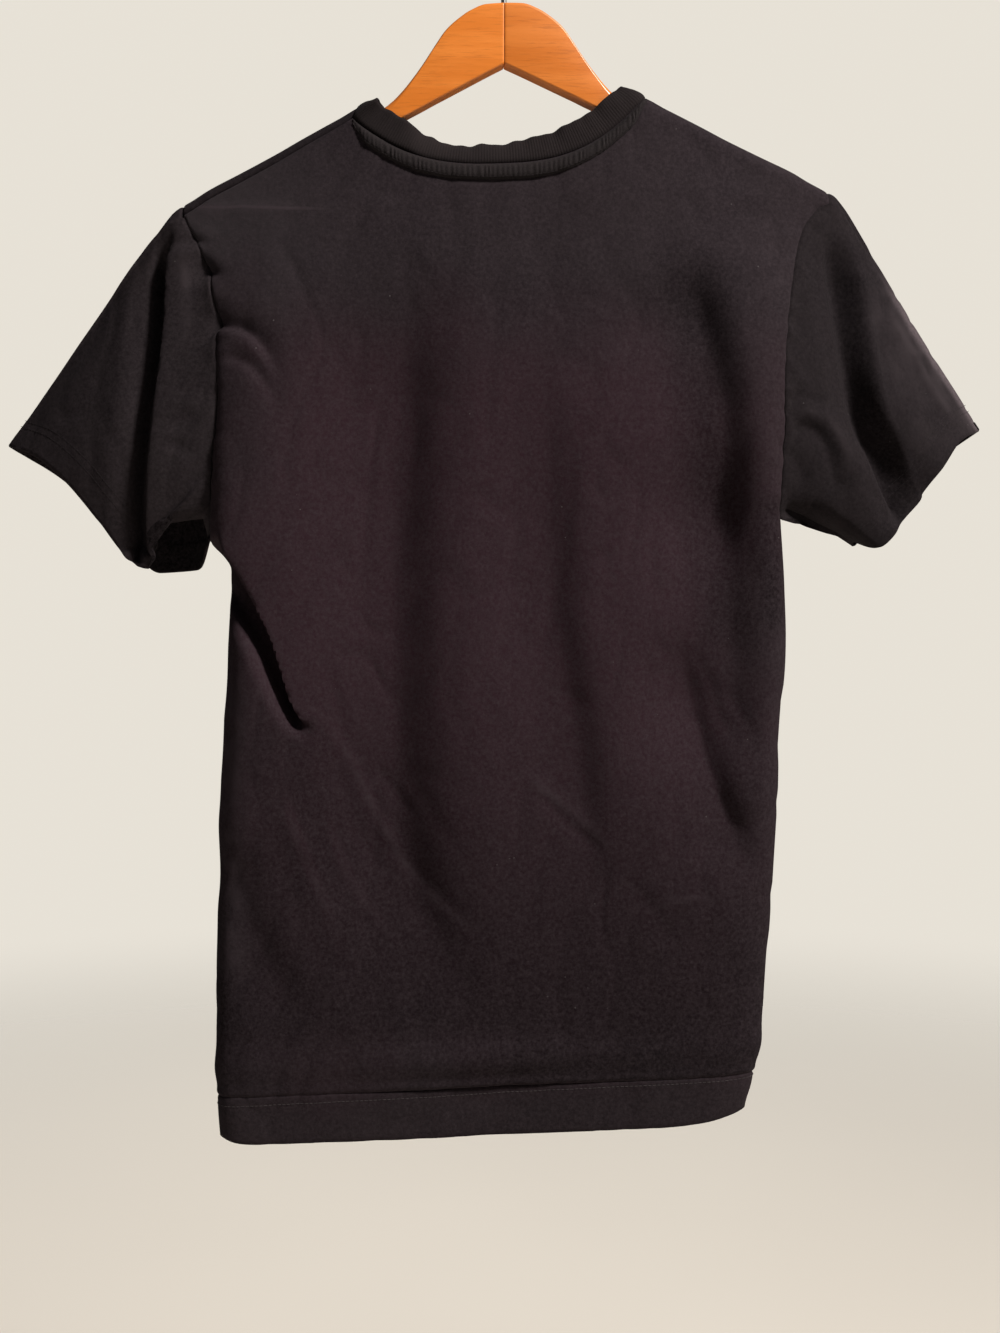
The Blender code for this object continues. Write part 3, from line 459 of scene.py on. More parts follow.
def heights():
    """Heights of the rows below the underarm, closer together at the hem's stitch line."""
    count = round((UNDERARM - HEM_LINE) / LOWER_STEP)
    return np.concatenate([np.linspace(UNDERARM, HEM_LINE + HEM_NEAR, count),
                           [HEM_LINE + above * MM for above in HEM_STEPS],
                           np.linspace(HEM_LINE - HEM_NEAR, HEM, HEM_ROWS)])


def panel_grid(panel):
    """Points of a panel as rows down to the hem, and their places on the flat cloth."""
    x = columns()
    top, arm = top_reach(panel, x), reach_of_height(x, UNDERARM)
    near = np.array([0.0, *SEAM_STEPS])[:, None]
    share = np.linspace(0, 1, UPPER_ROWS)[1:, None]
    upper = top + np.concatenate([near + 0 * x, near[-1] + (arm - top - near[-1]) * share])
    lower = np.stack([reach_of_height(x, z) for z in heights()[1:]])
    reach = np.concatenate([upper, lower])
    grid = panel_point(panel, np.broadcast_to(x, reach.shape), reach)
    flat = np.stack([np.broadcast_to(x * FLAT_SHARE, reach.shape), -reach], axis=-1)
    return grid, flat


UPPER = UPPER_ROWS + len(SEAM_STEPS)     # rows of a panel down to the underarm


def normals_of(grid, closed=False):
    if closed:
        across = np.roll(grid, -1, axis=1) - np.roll(grid, 1, axis=1)
    else:
        across = np.gradient(grid, axis=1)
    return unit(np.cross(np.gradient(grid, axis=0), across))


def smooth_path(points, steps=6):
    """A soft curve through a crease's points, in metres."""
    points = np.array(points, float) * MM
    ends = np.vstack([2 * points[0] - points[1], points, 2 * points[-1] - points[-2]])
    out = []
    for a, b, c, d in zip(ends, ends[1:], ends[2:], ends[3:]):
        for u in np.arange(steps) / steps:
            out.append(0.5 * (2 * b + (c - a) * u + (2 * a - 5 * b + 4 * c - d) * u ** 2
                              + (3 * b - a - 3 * c + d) * u ** 3))
    return np.array(out + [points[-1]])


def from_path(x, z, path):
    """For each point: signed distance from a path, share of the way along it, and the direction
    across it. Going down, the + side is the +X side."""
    near = np.full(x.shape, 1e9)
    away, share = np.zeros(x.shape), np.zeros(x.shape)
    across = np.zeros(x.shape + (2,))
    lengths = np.linalg.norm(np.diff(path, axis=0), axis=1)
    total, done = lengths.sum(), 0.0
    for k, length in enumerate(lengths):
        a = path[k]
        dx, dz = (path[k + 1] - a) / length
        t = np.clip((x - a[0]) * dx + (z - a[1]) * dz, 0, length)
        ox, oz = x - a[0] - t * dx, z - a[1] - t * dz
        distance = np.hypot(ox, oz)
        closer = distance < near
        near = np.where(closer, distance, near)
        away = np.where(closer, distance * np.where(dx * oz - dz * ox >= 0, 1, -1), away)
        share = np.where(closer, (done + t) / total, share)
        across[closer] = (-dz, dx)
        done += length
    return away, share, across


def crease_depth(piece, x, z):
    """How far the creases push a piece inwards, and how faded with use their ridges are."""
    depth, wear_and_painted_light = np.zeros(x.shape), np.zeros(x.shape)
    for deep, minus, plus, power, fade_in, fade_out, points in CREASES[piece]:
        away, share, _ = from_path(x, z, smooth_path(points))
        reach = np.where(away > 0, plus, minus) * MM
        fade = np.ones(x.shape)
        if fade_in:
            fade *= ease(share / fade_in)
        if fade_out:
            fade *= ease((1 - share) / fade_out)
        depth += deep * MM * fade * np.exp(-(np.abs(away) / reach) ** power)
        if deep < 0:
            wear_and_painted_light += min(-deep, 1.0) * fade * np.exp(-(away / 0.0028) ** 2)
    return depth, wear_and_painted_light


def lip_move(piece, x, z):
    """Inward depth and in-plane move (x, z) of the folds that hang over."""
    depth, move = np.zeros(x.shape), np.zeros(x.shape + (2,))
    for points, *sizes, share_up, fade_in, fade_out, narrow in LIPS.get(piece, []):
        over, tuck, deep, turn, floor, steep, slow = (k * MM for k in sizes)
        away, share, across = from_path(x, z, smooth_path(points))
        away = away + over
        fade = ease(share / fade_in) * ease((1 - share) / fade_out)
        slim = 1 - narrow * share
        beyond = (away - turn) / slim - floor
        rise = share_up * ease(beyond / steep) + (1 - share_up) * ease(beyond / slow)
        fall = ease(away / turn) * (1 - rise)
        depth += deep * fade * fall
        bulge = over * np.exp(-(np.minimum(away, 0) / (1.6 * over + 0.001)) ** 2)
        shift = bulge * (1 - ease(away / turn))
        shift -= tuck * np.exp(-((away - turn) / turn) ** 2)
        move += across * (shift * fade)[..., None]
    return depth, move


def ripple(grid, size, height, seed):
    """Small uneven softness all over a piece."""
    return height * np.array([
        [noise.noise(Vector((x / size + seed, y / size, z / (size * 2.2)))) for x, y, z in row]
        for row in grid])


def puckers(z, from_seam, seed):
    """Small puckers where cloth is gathered into a seam."""
    out = np.zeros(z.shape)
    for i, j in zip(*np.nonzero(from_seam < PUCKERS_END)):
        out[i, j] = noise.noise(Vector((from_seam[i, j] / 0.022 + seed, z[i, j] / 0.0085, seed)))
    return PUCKER * out * np.exp(-(from_seam / 0.009) ** 2)


def crumple(grid, size, height, seed):
    """Faint lines left where the cloth has been folded and rubbed with use."""
    def line(x, z):
        at = Vector((x / size + seed, (z + 0.6 * x) / (size * 1.6), seed))
        return abs(noise.noise(at + 0.6 * noise.noise_vector(at * 0.7)))
    return np.minimum([[line(x, z) for x, _, z in row] for row in grid], 0.25) * height


def hem_profile(above):
    """Outward move of cloth by its height above the hem's stitch line."""
    wide, near, groove = (move * np.exp(-((above - middle) / reach) ** 2) for move, middle, reach
                          in ((0.0038, 0.020, 0.0120), (0.0013, 0.0032, 0.0026),
                              (-0.0012, 0.0002, 0.0011)))
    return np.where(above > 0, wide + near, 0.0) + groove


def painted_light_and_shade(piece, x, z):
    """Painted highlight at each place, and below nought painted shade."""
    tone = np.zeros(x.shape)
    for amount, reach, points in PAINTED_LIGHT_AND_SHADE.get(piece, []):
        away, _, _ = from_path(x, z, smooth_path(points))
        tone += amount * np.exp(-(away / (reach * MM)) ** 2)
    return tone


def make_panels():
    """Both panels with their creases, their normals and flat places."""
    made = {}
    side_seam = slice(UPPER - 1, None)
    for panel, side in (("back", 1), ("front", -1)):
        grid, flat = panel_grid(panel)
        normal = normals_of(grid) * -side
        x, z = grid[..., 0], grid[..., 2]
        depth, wear_and_painted_light = crease_depth(panel, x, z)
        # the ridges' wear gets the painted highlights and painted shade of the table
        wear_and_painted_light += painted_light_and_shade(panel, x, z)
        depth += ripple(grid, size=0.050, height=0.0011, seed=3.0 * side)
        depth += ripple(grid, size=0.016, height=0.00034, seed=11.0 * side)
        depth -= crumple(grid, size=0.034, height=0.0030, seed=5.0 * side)
        lip, move = lip_move(panel, x, z)
        from_side = np.minimum(np.abs(x - x[:, :1]), np.abs(x - x[:, -1:]))
        depth += puckers(z, from_side, 4.0 * side) * ease((z - UNDERARM) / 0.02)
        if panel == "front":     # its side seams follow the back's
            depth[side_seam] *= 1 - np.exp(-(from_side[side_seam] / SEAM_CALM) ** 2)
        depth *= ease((z[0:1] - z) / SEAM_CALM)
        drop = grid - normal * depth[..., None]
        drop[..., 1] -= side * lip
        drop[..., ::2] += move
        # the hem's roll, a little uneven, stands out most in its middle
        strong = 0.40 + 0.80 * np.exp(-((x - 0.010) / 0.100) ** 2)
        out = hem_profile(z - HEM_LINE) * strong * (1 + 0.25 * np.sin(x * 31 + side))
        drop += normal * out[..., None] * np.where(z < HEM_ROLL_FROM, 1.0, 0.0)[..., None]
        if panel == "back":
            carried = (drop - grid)[side_seam]
        else:
            for column in (0, -1):
                away = np.abs(x - x[:, [column]])[side_seam]
                delta = carried[:, column] - (drop - grid)[side_seam, column]
                drop[side_seam] += delta[:, None] * np.exp(-(away / SIDE_CARRY) ** 2)[..., None]
        made[panel] = drop, flat, wear_and_painted_light
    return made


def armhole(back, front, column):
    """The armhole seam: down the back panel's edge and up the front panel's."""
    return np.concatenate([back[:UPPER, column], front[UPPER - 2:0:-1, column]])


def sleeve_grid(side, ring):
    """A sleeve as rings from the armhole to its hem, with flat places."""
    table = SLEEVE_HEMS[side]
    table = table + [(1.0,) + table[0][1:]]
    under = UPPER - 1
    lengths = np.linalg.norm(np.roll(ring, -1, axis=0) - ring, axis=1)
    down = np.concatenate([[0], np.cumsum(lengths[:under])])
    up = np.concatenate([[0], np.cumsum(lengths[under:])])
    around = np.concatenate([0.5 * down[:-1] / down[-1], 0.5 + 0.5 * up[:-1] / up[-1]])
    hem = np.stack([Track(table, k)(around) for k in (1, 2, 3)], axis=-1)
    outward = 1 if side == "left" else -1
    calm = ring.copy()
    for _ in range(ARMHOLE_SMOOTHING):
        calm = (np.roll(calm, 1, axis=0) + 2 * calm + np.roll(calm, -1, axis=0)) / 4
    calm[0], calm[under] = ring[0], ring[under]
    shares = np.concatenate([SLEEVE_SEAM_SHARES, np.linspace(SLEEVE_NEXT_SHARE, 1, SLEEVE_RINGS)])
    rise, at = SLEEVE_HEADS[side]
    top = np.maximum(np.cos(2 * np.pi * around), 0.0) ** 2
    swell = np.sin(2 * np.pi * around)
    rings = []
    for a in shares:
        points = calm * (1 - a) + hem * a + (ring - calm) * math.exp(-(a / ARMHOLE_FADE) ** 2)
        head = rise * (a / at) * math.exp(1 - a / at)
        points = points + np.array([SLEEVE_HEAD_OUT * outward, 0, 1]) * (head * top)[:, None]
        points[:, 1] += SLEEVE_PUFF * math.sin(math.pi * a) * swell
        rings.append(points)
    grid = np.array(rings)
    normal = normals_of(grid, closed=True) * outward
    x, z = grid[..., 0], grid[..., 2]
    back_half = ease(swell * 3)[None, :]
    start = ease(shares / SLEEVE_START)[:, None]
    piece = side + "_sleeve"
    lip, move = lip_move(piece, x, z)
    depth, wear_and_painted_light = crease_depth(piece, x, z)
    depth = (depth + lip) * back_half * start
    depth += ripple(grid, size=0.045, height=0.0012, seed=7.0 * outward) * start
    depth -= crumple(grid, size=0.030, height=0.0026, seed=9.0 * outward) * start
    depth += puckers(z, np.abs(x - x[:1]) + 0.0015, 6.0 * outward) * start
    push = unit(normal * np.array([0.4, 1, 0.4]))
    grid = grid - push * depth[..., None]
    grid[..., ::2] += move * (back_half * start)[..., None]
    run = np.linalg.norm(hem - calm, axis=1)
    from_hem = run[None, :] * (1 - shares[:, None])
    groove = SLEEVE_GROOVE * np.exp(-((from_hem - SLEEVE_BAND) / 0.0020) ** 2)
    grid -= normal * groove[..., None]
    girth = np.concatenate([[0], np.cumsum(lengths)])
    flat = np.stack([np.broadcast_to(girth[:-1], grid.shape[:2]), -run.mean() * shares[:, None]
                     + 0 * around[None, :]], axis=-1)
    # the ridges' wear gets the painted highlights and painted shade of the table
    wear_and_painted_light = (wear_and_painted_light + painted_light_and_shade(piece, x, z)) * back_half
    if side == "right":     # a painted highlight along its fold over the shoulder
        crest = np.minimum(around, 1 - around)[None, :] * 0.44
        pale = sum(amount * np.exp(-(crest / reach) ** 2) for amount, reach in SLEEVE_CREST_HIGHLIGHT)
        set_in = (shares - SLEEVE_CREST_HIGHLIGHT_FROM) / (SLEEVE_CREST_HIGHLIGHT_FULL - SLEEVE_CREST_HIGHLIGHT_FROM)
        wear_and_painted_light = wear_and_painted_light + pale * ease(set_in)[:, None]
    return grid, flat, girth[-1], from_hem, wear_and_painted_light


# ================================================================= meshes
def add_object(name, data):
    obj = bpy.data.objects.new(name, data)
    bpy.context.scene.collection.objects.link(obj)
    return obj


def finish_mesh(mesh, material, sharp):
    """Smooth shading, except at edges sharper than that many degrees."""
    mesh.shade_smooth()
    mesh.set_sharp_from_angle(angle=math.radians(sharp))
    mesh.materials.append(material)


def plain_mesh(obj):
    """An object's mesh with its modifiers applied."""
    bpy.context.view_layer.update()
    graph = bpy.context.evaluated_depsgraph_get()
    return bpy.data.meshes.new_from_object(obj.evaluated_get(graph), depsgraph=graph)


def add_mesh(name, points, quads, uvs, material, corners):
    """A mesh of quads with a UV for each corner, and of the triangles that close its corners."""
    mesh = bpy.data.meshes.new(name)
    points, quads = np.asarray(points, np.float32), np.asarray(quads, np.int32)
    small = np.asarray(corners, np.int32).reshape(-1, 3)
    mesh.vertices.add(len(points))
    mesh.vertices.foreach_set("co", points.ravel())
    mesh.loops.add(quads.size + small.size)
    mesh.loops.foreach_set("vertex_index", np.concatenate([quads.ravel(), small.ravel()]))
    mesh.polygons.add(len(quads) + len(small))
    starts = np.concatenate([np.arange(0, quads.size, 4), quads.size + np.arange(0, small.size, 3)])
    mesh.polygons.foreach_set("loop_start", starts.astype(np.int32))
    layer = mesh.uv_layers.new(name="flat")
    places = np.concatenate([np.asarray(uvs, np.float32).ravel(), np.zeros(2 * small.size)])
    layer.data.foreach_set("uv", places.astype(np.float32))
    mesh.update(calc_edges=True)
    mesh.validate()
    finish_mesh(mesh, material, CLOTH_SHARP)
    return add_object(name, mesh)


def add_shell(name, grid, normal, half, flat, material, girth=None, round_ends=(False, True),
              wear_and_painted_light=None):
    """A cloth piece: the grid moved out and in by half its thickness, closed round its edges.
    girth is the flat length round a tube. round_ends says which of the first and last rows end
    in a round edge, the last how faded with use the cloth is at each point, plus painted highlights
    and shade."""
    rows, count = grid.shape[:2]
    closed = girth is not None
    wear_and_painted_light = np.zeros((rows, count)) if wear_and_painted_light is None else wear_and_painted_light
    if np.sum(normals_of(grid, closed) * normal) < 0:
        grid, normal, half, flat, wear_and_painted_light = (
            part[:, ::-1] for part in (grid, normal, half, flat, wear_and_painted_light))
    half = half[..., None]
    outer, inner = grid + normal * half, grid - normal * half
    last = count if closed else count - 1
    i, j = np.meshgrid(np.arange(rows - 1), np.arange(last), indexing="ij")
    i, j = i.ravel(), j.ravel()
    k = (j + 1) % count
    a, b, c, d = i * count + j, i * count + k, (i + 1) * count + k, (i + 1) * count + j
    shift = rows * count
    points = [outer.reshape(-1, 3), inner.reshape(-1, 3)]
    # the inner faces carry painted shade
    marks = [wear_and_painted_light.ravel(), np.full(rows * count, INSIDE_PAINTED_SHADE)]
    wide = flat if not closed else np.concatenate(
        [flat, flat[:, :1] + np.array([girth, 0])], axis=1)
    uv = [wide[i, j], wide[i, j + 1], wide[i + 1, j + 1], wide[i + 1, j]]
    quads = [np.stack([a, d, c, b], 1), np.stack([a, b, c, d], 1) + shift]
    uvs = [np.stack([uv[0], uv[3], uv[2], uv[1]], 1), np.stack(uv, 1)]

    def add_strip(quad, edge, flip):
        quads.append(quad[:, ::-1] if flip else quad)
        uvs.append(edge[:, ::-1] if flip else edge)

    j = np.arange(last)
    k = (j + 1) % count
    total = 2 * shift
    corners = []
    for row, beyond, is_round in ((0, 1, round_ends[0]), (rows - 1, rows - 2, round_ends[1])):
        o, n = row * count, row * count + shift
        edge = np.stack([wide[row, j], wide[row, j + 1], wide[row, j + 1], wide[row, j]], 1)
        flip = row != 0
        if is_round:
            out = unit(grid[row] - grid[beyond])
            points.append(grid[row] + out * half[row] * ROUND_EDGE)
            marks.append(wear_and_painted_light[row])
            m = total
            total += count
            strips = [(o, m), (m, n)]
            if not closed:
                near, far = (o, m, n), (o + last, n + last, m + last)
                corners += [near[::-1], far[::-1]] if flip else [near, far]
        else:
            strips = [(o, n)]
        for p, q in strips:
            add_strip(np.stack([p + j, p + k, q + k, q + j], 1), edge, flip)
    if not closed:
        i = np.arange(rows - 1)
        for column, flip in ((0, True), (count - 1, False)):
            p, q = i * count + column, (i + 1) * count + column
            edge = np.stack([flat[i, column], flat[i + 1, column],
                             flat[i + 1, column], flat[i, column]], 1)
            add_strip(np.stack([p, q, q + shift, p + shift], 1), edge, flip)
    points = lean(np.concatenate(points))
    quads, uvs = np.concatenate(quads), np.concatenate(uvs)
    obj = add_mesh(name, points, quads, uvs, material, corners)
    # a point attribute: wear with painted highlights, and painted shade below nought
    marked = obj.data.attributes.new("wear_and_painted_light", "FLOAT", "POINT")
    marked.data.foreach_set("value", np.concatenate(marks).astype(np.float32))
    return obj


def neck_loop(back, front, back_normal, front_normal):
    """The neck seam, from the point of the V up its left side, round the back and down again."""
    middle = len(columns()) // 2
    left, right = middle + NECK_COLUMNS, middle - NECK_COLUMNS
    points = [front[0, middle:left], back[0, left:right:-1], front[0, right:middle]]
    normals = [front_normal[0, middle:left], back_normal[0, left:right:-1],
               front_normal[0, right:middle]]
    return np.concatenate(points), np.concatenate(normals)


def clear_of_hanger(points, clearance):
    """Move points of the neck band out to where they lie on the hanger's arm."""
    off = np.abs(points[..., 0] - HANGER_X)
    top, low = arm_top(off), arm_low(off)
    radius = ARM_DEPTH / 2 + clearance
    y = points[..., 1] - ridge_y(points[..., 0])
    z = points[..., 2] - (top - ARM_DEPTH / 2)
    distance = np.maximum(np.hypot(y, z), 1e-9)
    scale = np.where((z > 0) & (distance < radius), radius / distance, 1.0)
    side = np.where(y < 0, -1.0, 1.0)
    beside = (z <= 0) & (points[..., 2] > low - RIB_HANG) & (np.abs(y) < radius)
    y = np.where(beside, side * radius, y * scale)
    return np.stack([points[..., 0], ridge_y(points[..., 0]) + y,
                     z * scale + top - ARM_DEPTH / 2], axis=-1)


def resample(points, count, closed=False):
    """count points at even steps along a line of points, with anything that goes with them."""
    places = np.linalg.norm(np.diff(points[:, :3], axis=0), axis=1)
    along = np.concatenate([[0], np.cumsum(places)])
    at = np.linspace(0, along[-1], count + 1)[:-1] if closed else np.linspace(0, along[-1], count)
    return np.stack([np.interp(at, along, points[:, k]) for k in range(points.shape[1])], axis=-1)


RIB_PITCH = 0.0019       # one knit rib and its gap
RIB_DEPTH = 0.00010
RIB_ROWS = 12
RIB_COLUMNS = 6          # for each rib
RIB_TUCK, RIB_TUCK_DEPTH = 0.035, 0.0012     # its foot behind the cloth, as a share of its width
RIB_WAVES = ((1.0, 17, 1.0), (0.7, 29, 2.2), (0.5, 47, 0.0))     # height, number, where it starts
RIB_WAVE, RIB_WAVE_UP = 0.00035, 0.00030
RIB_FORWARD = 0.85       # how far the back of the band leans forward
RIB_SOFT = 0.008         # how far along it each point is averaged
MITRE_REACH = 0.004      # how far from the point of the V the mitre reaches


def soften(line, reach, calm):
    """A closed line of vectors, averaged over some steps each way where calm is 1."""
    steps = np.arange(-3 * reach, 3 * reach + 1)
    share = np.exp(-(steps / reach) ** 2)
    share /= share.sum()
    mean = sum(w * np.roll(line, k, axis=0) for w, k in zip(share, steps))
    return line * (1 - calm) + mean * calm


def make_neck_band(back, front, back_normal, front_normal, material):
    """The neck band in 1x1 rib: the neck seam moved inwards across the cloth, mitred at the V,
    leaning forward at the back of the neck."""
    seam, normal = neck_loop(back, front, back_normal, front_normal)
    rise = seam[1] - seam[0]
    line = np.concatenate([seam, normal], axis=1)
    length = np.linalg.norm(np.diff(np.concatenate([seam, seam[:1]]), axis=0), axis=1).sum()
    ribs = round(length / RIB_PITCH)
    count = ribs * RIB_COLUMNS
    line = resample(np.concatenate([line, line[:1]]), count, closed=True)
    seam, normal = line[:, :3], unit(line[:, 3:])
    step = length / count
    from_v = np.minimum(np.arange(count), count - np.arange(count)) * step
    calm = ease((from_v - 0.006) / 0.020)[:, None]
    along = np.roll(seam, -2, axis=0) - np.roll(seam, 2, axis=0)
    inward = unit(np.cross(normal, along))
    inward[:, 2] += RIB_STAND * np.maximum(normal[:, 2], 0)
    half_angle = math.atan2(abs(rise[0]), math.hypot(rise[1], rise[2]))
    mitre = unit(np.array([0, rise[1], rise[2]]))
    bend = 1 - ease(from_v / MITRE_REACH)[:, None]
    inward = soften(unit(inward), round(RIB_SOFT / step), calm)
    inward = unit(inward * (1 - bend) + mitre * bend)
    long = 1 + (1 / math.sin(half_angle) - 1) * np.maximum(1 - from_v / (
        RIB_WIDTH / math.tan(half_angle)), 0)[:, None]
    # the back of the band leans forward, and beside the neck it droops over the hanger
    x = seam[:, 0]
    forward = RIB_FORWARD * ease((0.068 - x) / 0.016) * ease((x + 0.060) / 0.090)
    forward = forward * (seam[:, 1] > -0.02)
    droop = (ease((ridge_y(x) + 0.004 - seam[:, 1]) / 0.010)
             * ease((np.abs(x - NECK_X) - 0.066) / 0.014))
    forward = forward[:, None] * np.array([0, -1.0, 0])
    forward += droop[:, None] * np.array([0, 0, -1.0])
    reach = RIB_WIDTH * long
    middle = seam + unit(inward + 0.5 * forward) * reach * 0.5
    free = middle + unit(inward + 1.5 * forward) * reach * 0.5
    free = soften(free, round(RIB_SOFT / step), calm)
    clearance = RIB / 2 + RIB_CLEAR
    a, b, c = seam, clear_of_hanger(middle, clearance), clear_of_hanger(free, clearance)
    b, c = soften(b, round(0.003 / step), calm), soften(c, round(0.006 / step), calm)
    t = np.linspace(-RIB_TUCK, 1, RIB_ROWS)[:, None, None]
    grid = a * (1 - t) * (1 - 2 * t) + b * 4 * t * (1 - t) + c * t * (2 * t - 1)
    place = np.arange(count) / count
    wave = sum(height * np.sin(place * 2 * np.pi * number + start)
               for height, number, start in RIB_WAVES)
    normals = normals_of(grid, closed=True)
    normals *= np.median(np.sign(np.sum(normals[RIB_ROWS // 2] * normal, axis=-1)))
    share = t[..., 0]
    grid = grid + normals * (RIB_WAVE * wave * share ** 2)[..., None]
    grid[..., 2] += RIB_WAVE_UP * wave * share ** 2
    tucked = RIB_TUCK_DEPTH * ease(-share / RIB_TUCK)
    grid -= normals * (SEAM_DIP * np.exp(-(share * RIB_WIDTH / SEAM_HALF) ** 2) + tucked)[..., None]
    ridges = RIB_DEPTH * np.cos(place * 2 * np.pi * ribs) * ease(share / 0.08)
    half = RIB / 2 + ridges * (1 - 0.6 * share ** 6)
    flat = np.stack([np.broadcast_to(place * length, grid.shape[:2]),
                     np.broadcast_to(share * RIB_WIDTH, grid.shape[:2])], axis=-1)
    return add_shell("neck_band", grid, normals, half, flat, material, girth=length), length


TAPE_ROWS, TAPE_COLUMNS = 9, 300
TAPE_HALF = 0.0003       # half its thickness at the edges
TAPE_CROWN = 0.0010      # how much thicker each half is in its middle
TAPE_CLEAR = 0.0001      # gap to the cloth, and from the tape to its stitches
TAPE_PUCKER, TAPE_PUCKER_PITCH, TAPE_SHIFT = 0.00022, 0.0034, 0.00025


def make_tape(back, back_normal, material):
    """The tape over the back neck seam: the back panel's own points moved out, with puckers."""
    middle = len(columns()) // 2
    across = np.arange(middle - NECK_COLUMNS + 2, middle + NECK_COLUMNS - 1)
    strips = []
    for j in across:
        column, stand = back[:, j], back_normal[:, j]
        step = np.concatenate([[0], np.cumsum(np.linalg.norm(np.diff(column, axis=0), axis=1))])
        slim = 0.40 + 0.60 * float(ease((NECK_HALF - abs(column[0, 0] - NECK_X)) / 0.010))
        at = TAPE_FROM + (TAPE_TO - TAPE_FROM) * slim * np.linspace(0, 1, TAPE_ROWS)
        both = np.concatenate([column, stand], axis=1)
        strips.append(np.stack([np.interp(at, step, part) for part in both.T], axis=-1).ravel())
    spread = resample(np.array(strips), TAPE_COLUMNS).reshape(TAPE_COLUMNS, TAPE_ROWS, 6)
    spread = spread.transpose(1, 0, 2)
    grid, normal = spread[..., :3], unit(spread[..., 3:])
    place = np.linspace(0, 1, TAPE_COLUMNS)
    length = np.linalg.norm(np.diff(grid[TAPE_ROWS // 2], axis=0), axis=1).sum()
    v = np.linspace(-1, 1, TAPE_ROWS)[:, None]
    uneven = np.array([noise.noise(Vector((p * 24, 0.0, 5.0))) for p in place])
    pucker = np.sin(place * length / TAPE_PUCKER_PITCH * 2 * np.pi + 5 * uneven)
    pucker *= 0.6 + 0.8 * uneven
    ends = ease(place / 0.05) * ease((1 - place) / 0.05)
    crown = (1 - np.abs(v) ** 3.0) * TAPE_CROWN
    half = TAPE_HALF + (crown + TAPE_PUCKER * pucker * (1 - v ** 4)) * ends
    lift = JERSEY / 2 + TAPE_CLEAR + half
    grid = grid + normal * lift[..., None]
    grid[..., 2] += TAPE_SHIFT * pucker * np.where(v > 0, v, 0.2 * v)
    flat = np.stack([np.broadcast_to(place * length, grid.shape[:2]),
                     np.broadcast_to(v * 0.005, grid.shape[:2])], axis=-1)
    row = TAPE_ROWS - 2      # the stitches run beside the lower edge
    stitched = grid[row] + normal[row] * (half[row] + TAPE_CLEAR)[:, None]
    tape = add_shell("back_neck_tape", grid, normal, half, flat, material,
                     round_ends=(True, True))
    return tape, stitched, length


# ================================================================= stitches
class Nodes:
    """A node tree, with the few steps that building one takes."""

    def __init__(self, tree):
        self.tree = tree

    def feed(self, socket, value):
        """Give a socket a number, a color, another socket or a node's first output."""
        if isinstance(value, bpy.types.Node):
            value = next(output for output in value.outputs if output.enabled)
        if isinstance(value, bpy.types.NodeSocket):
            self.tree.links.new(value, socket)
        elif socket.type == "RGBA":
            socket.default_value = (*value, 1.0)
        else:
            socket.default_value = value

    def node(self, kind, inputs=(), **settings):
        """A new node with its settings and some inputs, by name or by place."""
        node = self.tree.nodes.new(kind)
        for name, value in settings.items():
            setattr(node, name, value)
        for name, value in dict(inputs).items():
            self.feed(node.inputs[name], value)
        return node

    def math(self, operation, *values):
        return self.node("ShaderNodeMath", enumerate(values), operation=operation)

    def span(self, value, low, high, to_low=0.0, to_high=1.0, smooth=True):
        return self.node("ShaderNodeMapRange", {
            "Value": value, "From Min": low, "From Max": high, "To Min": to_low,
            "To Max": to_high}, interpolation_type="SMOOTHSTEP" if smooth else "LINEAR")


def stitch_tree(material):
    """Stitches laid along a line: named sizes in, plain mesh out."""
    stitches = Nodes(bpy.data.node_groups.new("stitches_along_line", "GeometryNodeTree"))
    face = stitches.tree.interface
    face.new_socket("Line", in_out="INPUT", socket_type="NodeSocketGeometry")
    for name, value in (("Pitch", 0.003), ("Stitch length", 0.0026), ("Thread", 0.00045),
                        ("Unevenness", 0.05)):
        face.new_socket(name, in_out="INPUT", socket_type="NodeSocketFloat").default_value = value
    face.new_socket("Stitches", in_out="OUTPUT", socket_type="NodeSocketGeometry")
    given = stitches.node("NodeGroupInput").outputs
    points = stitches.node("GeometryNodeResampleCurve",
                           {"Curve": given["Line"], "Length": given["Pitch"]}, mode="LENGTH")
    bead = stitches.node("GeometryNodeMeshUVSphere", {"Segments": 6, "Rings": 5, "Radius": 0.5})
    size = stitches.node("ShaderNodeCombineXYZ", {
        "X": given["Thread"], "Y": given["Thread"], "Z": given["Stitch length"]})
    shaped = stitches.node("GeometryNodeTransform", {"Geometry": bead, "Scale": size})
    turn = stitches.node("FunctionNodeAlignRotationToVector",
                         {"Vector": stitches.node("GeometryNodeInputTangent")}, axis="Z")
    uneven = stitches.node("FunctionNodeRandomValue", {"Seed": 4}, data_type="FLOAT")
    limits = [socket for socket in uneven.inputs if socket.enabled][:2]
    for limit, operation in zip(limits, ("SUBTRACT", "ADD")):
        stitches.feed(limit, stitches.math(operation, 1.0, given["Unevenness"]))
    placed = stitches.node("GeometryNodeInstanceOnPoints", {
        "Points": points, "Instance": shaped, "Rotation": turn, "Scale": uneven})
    real = stitches.node("GeometryNodeRealizeInstances", {"Geometry": placed})
    coated = stitches.node("GeometryNodeSetMaterial", {"Geometry": real, "Material": material})
    stitches.node("NodeGroupOutput", {"Stitches": coated})
    return stitches.tree


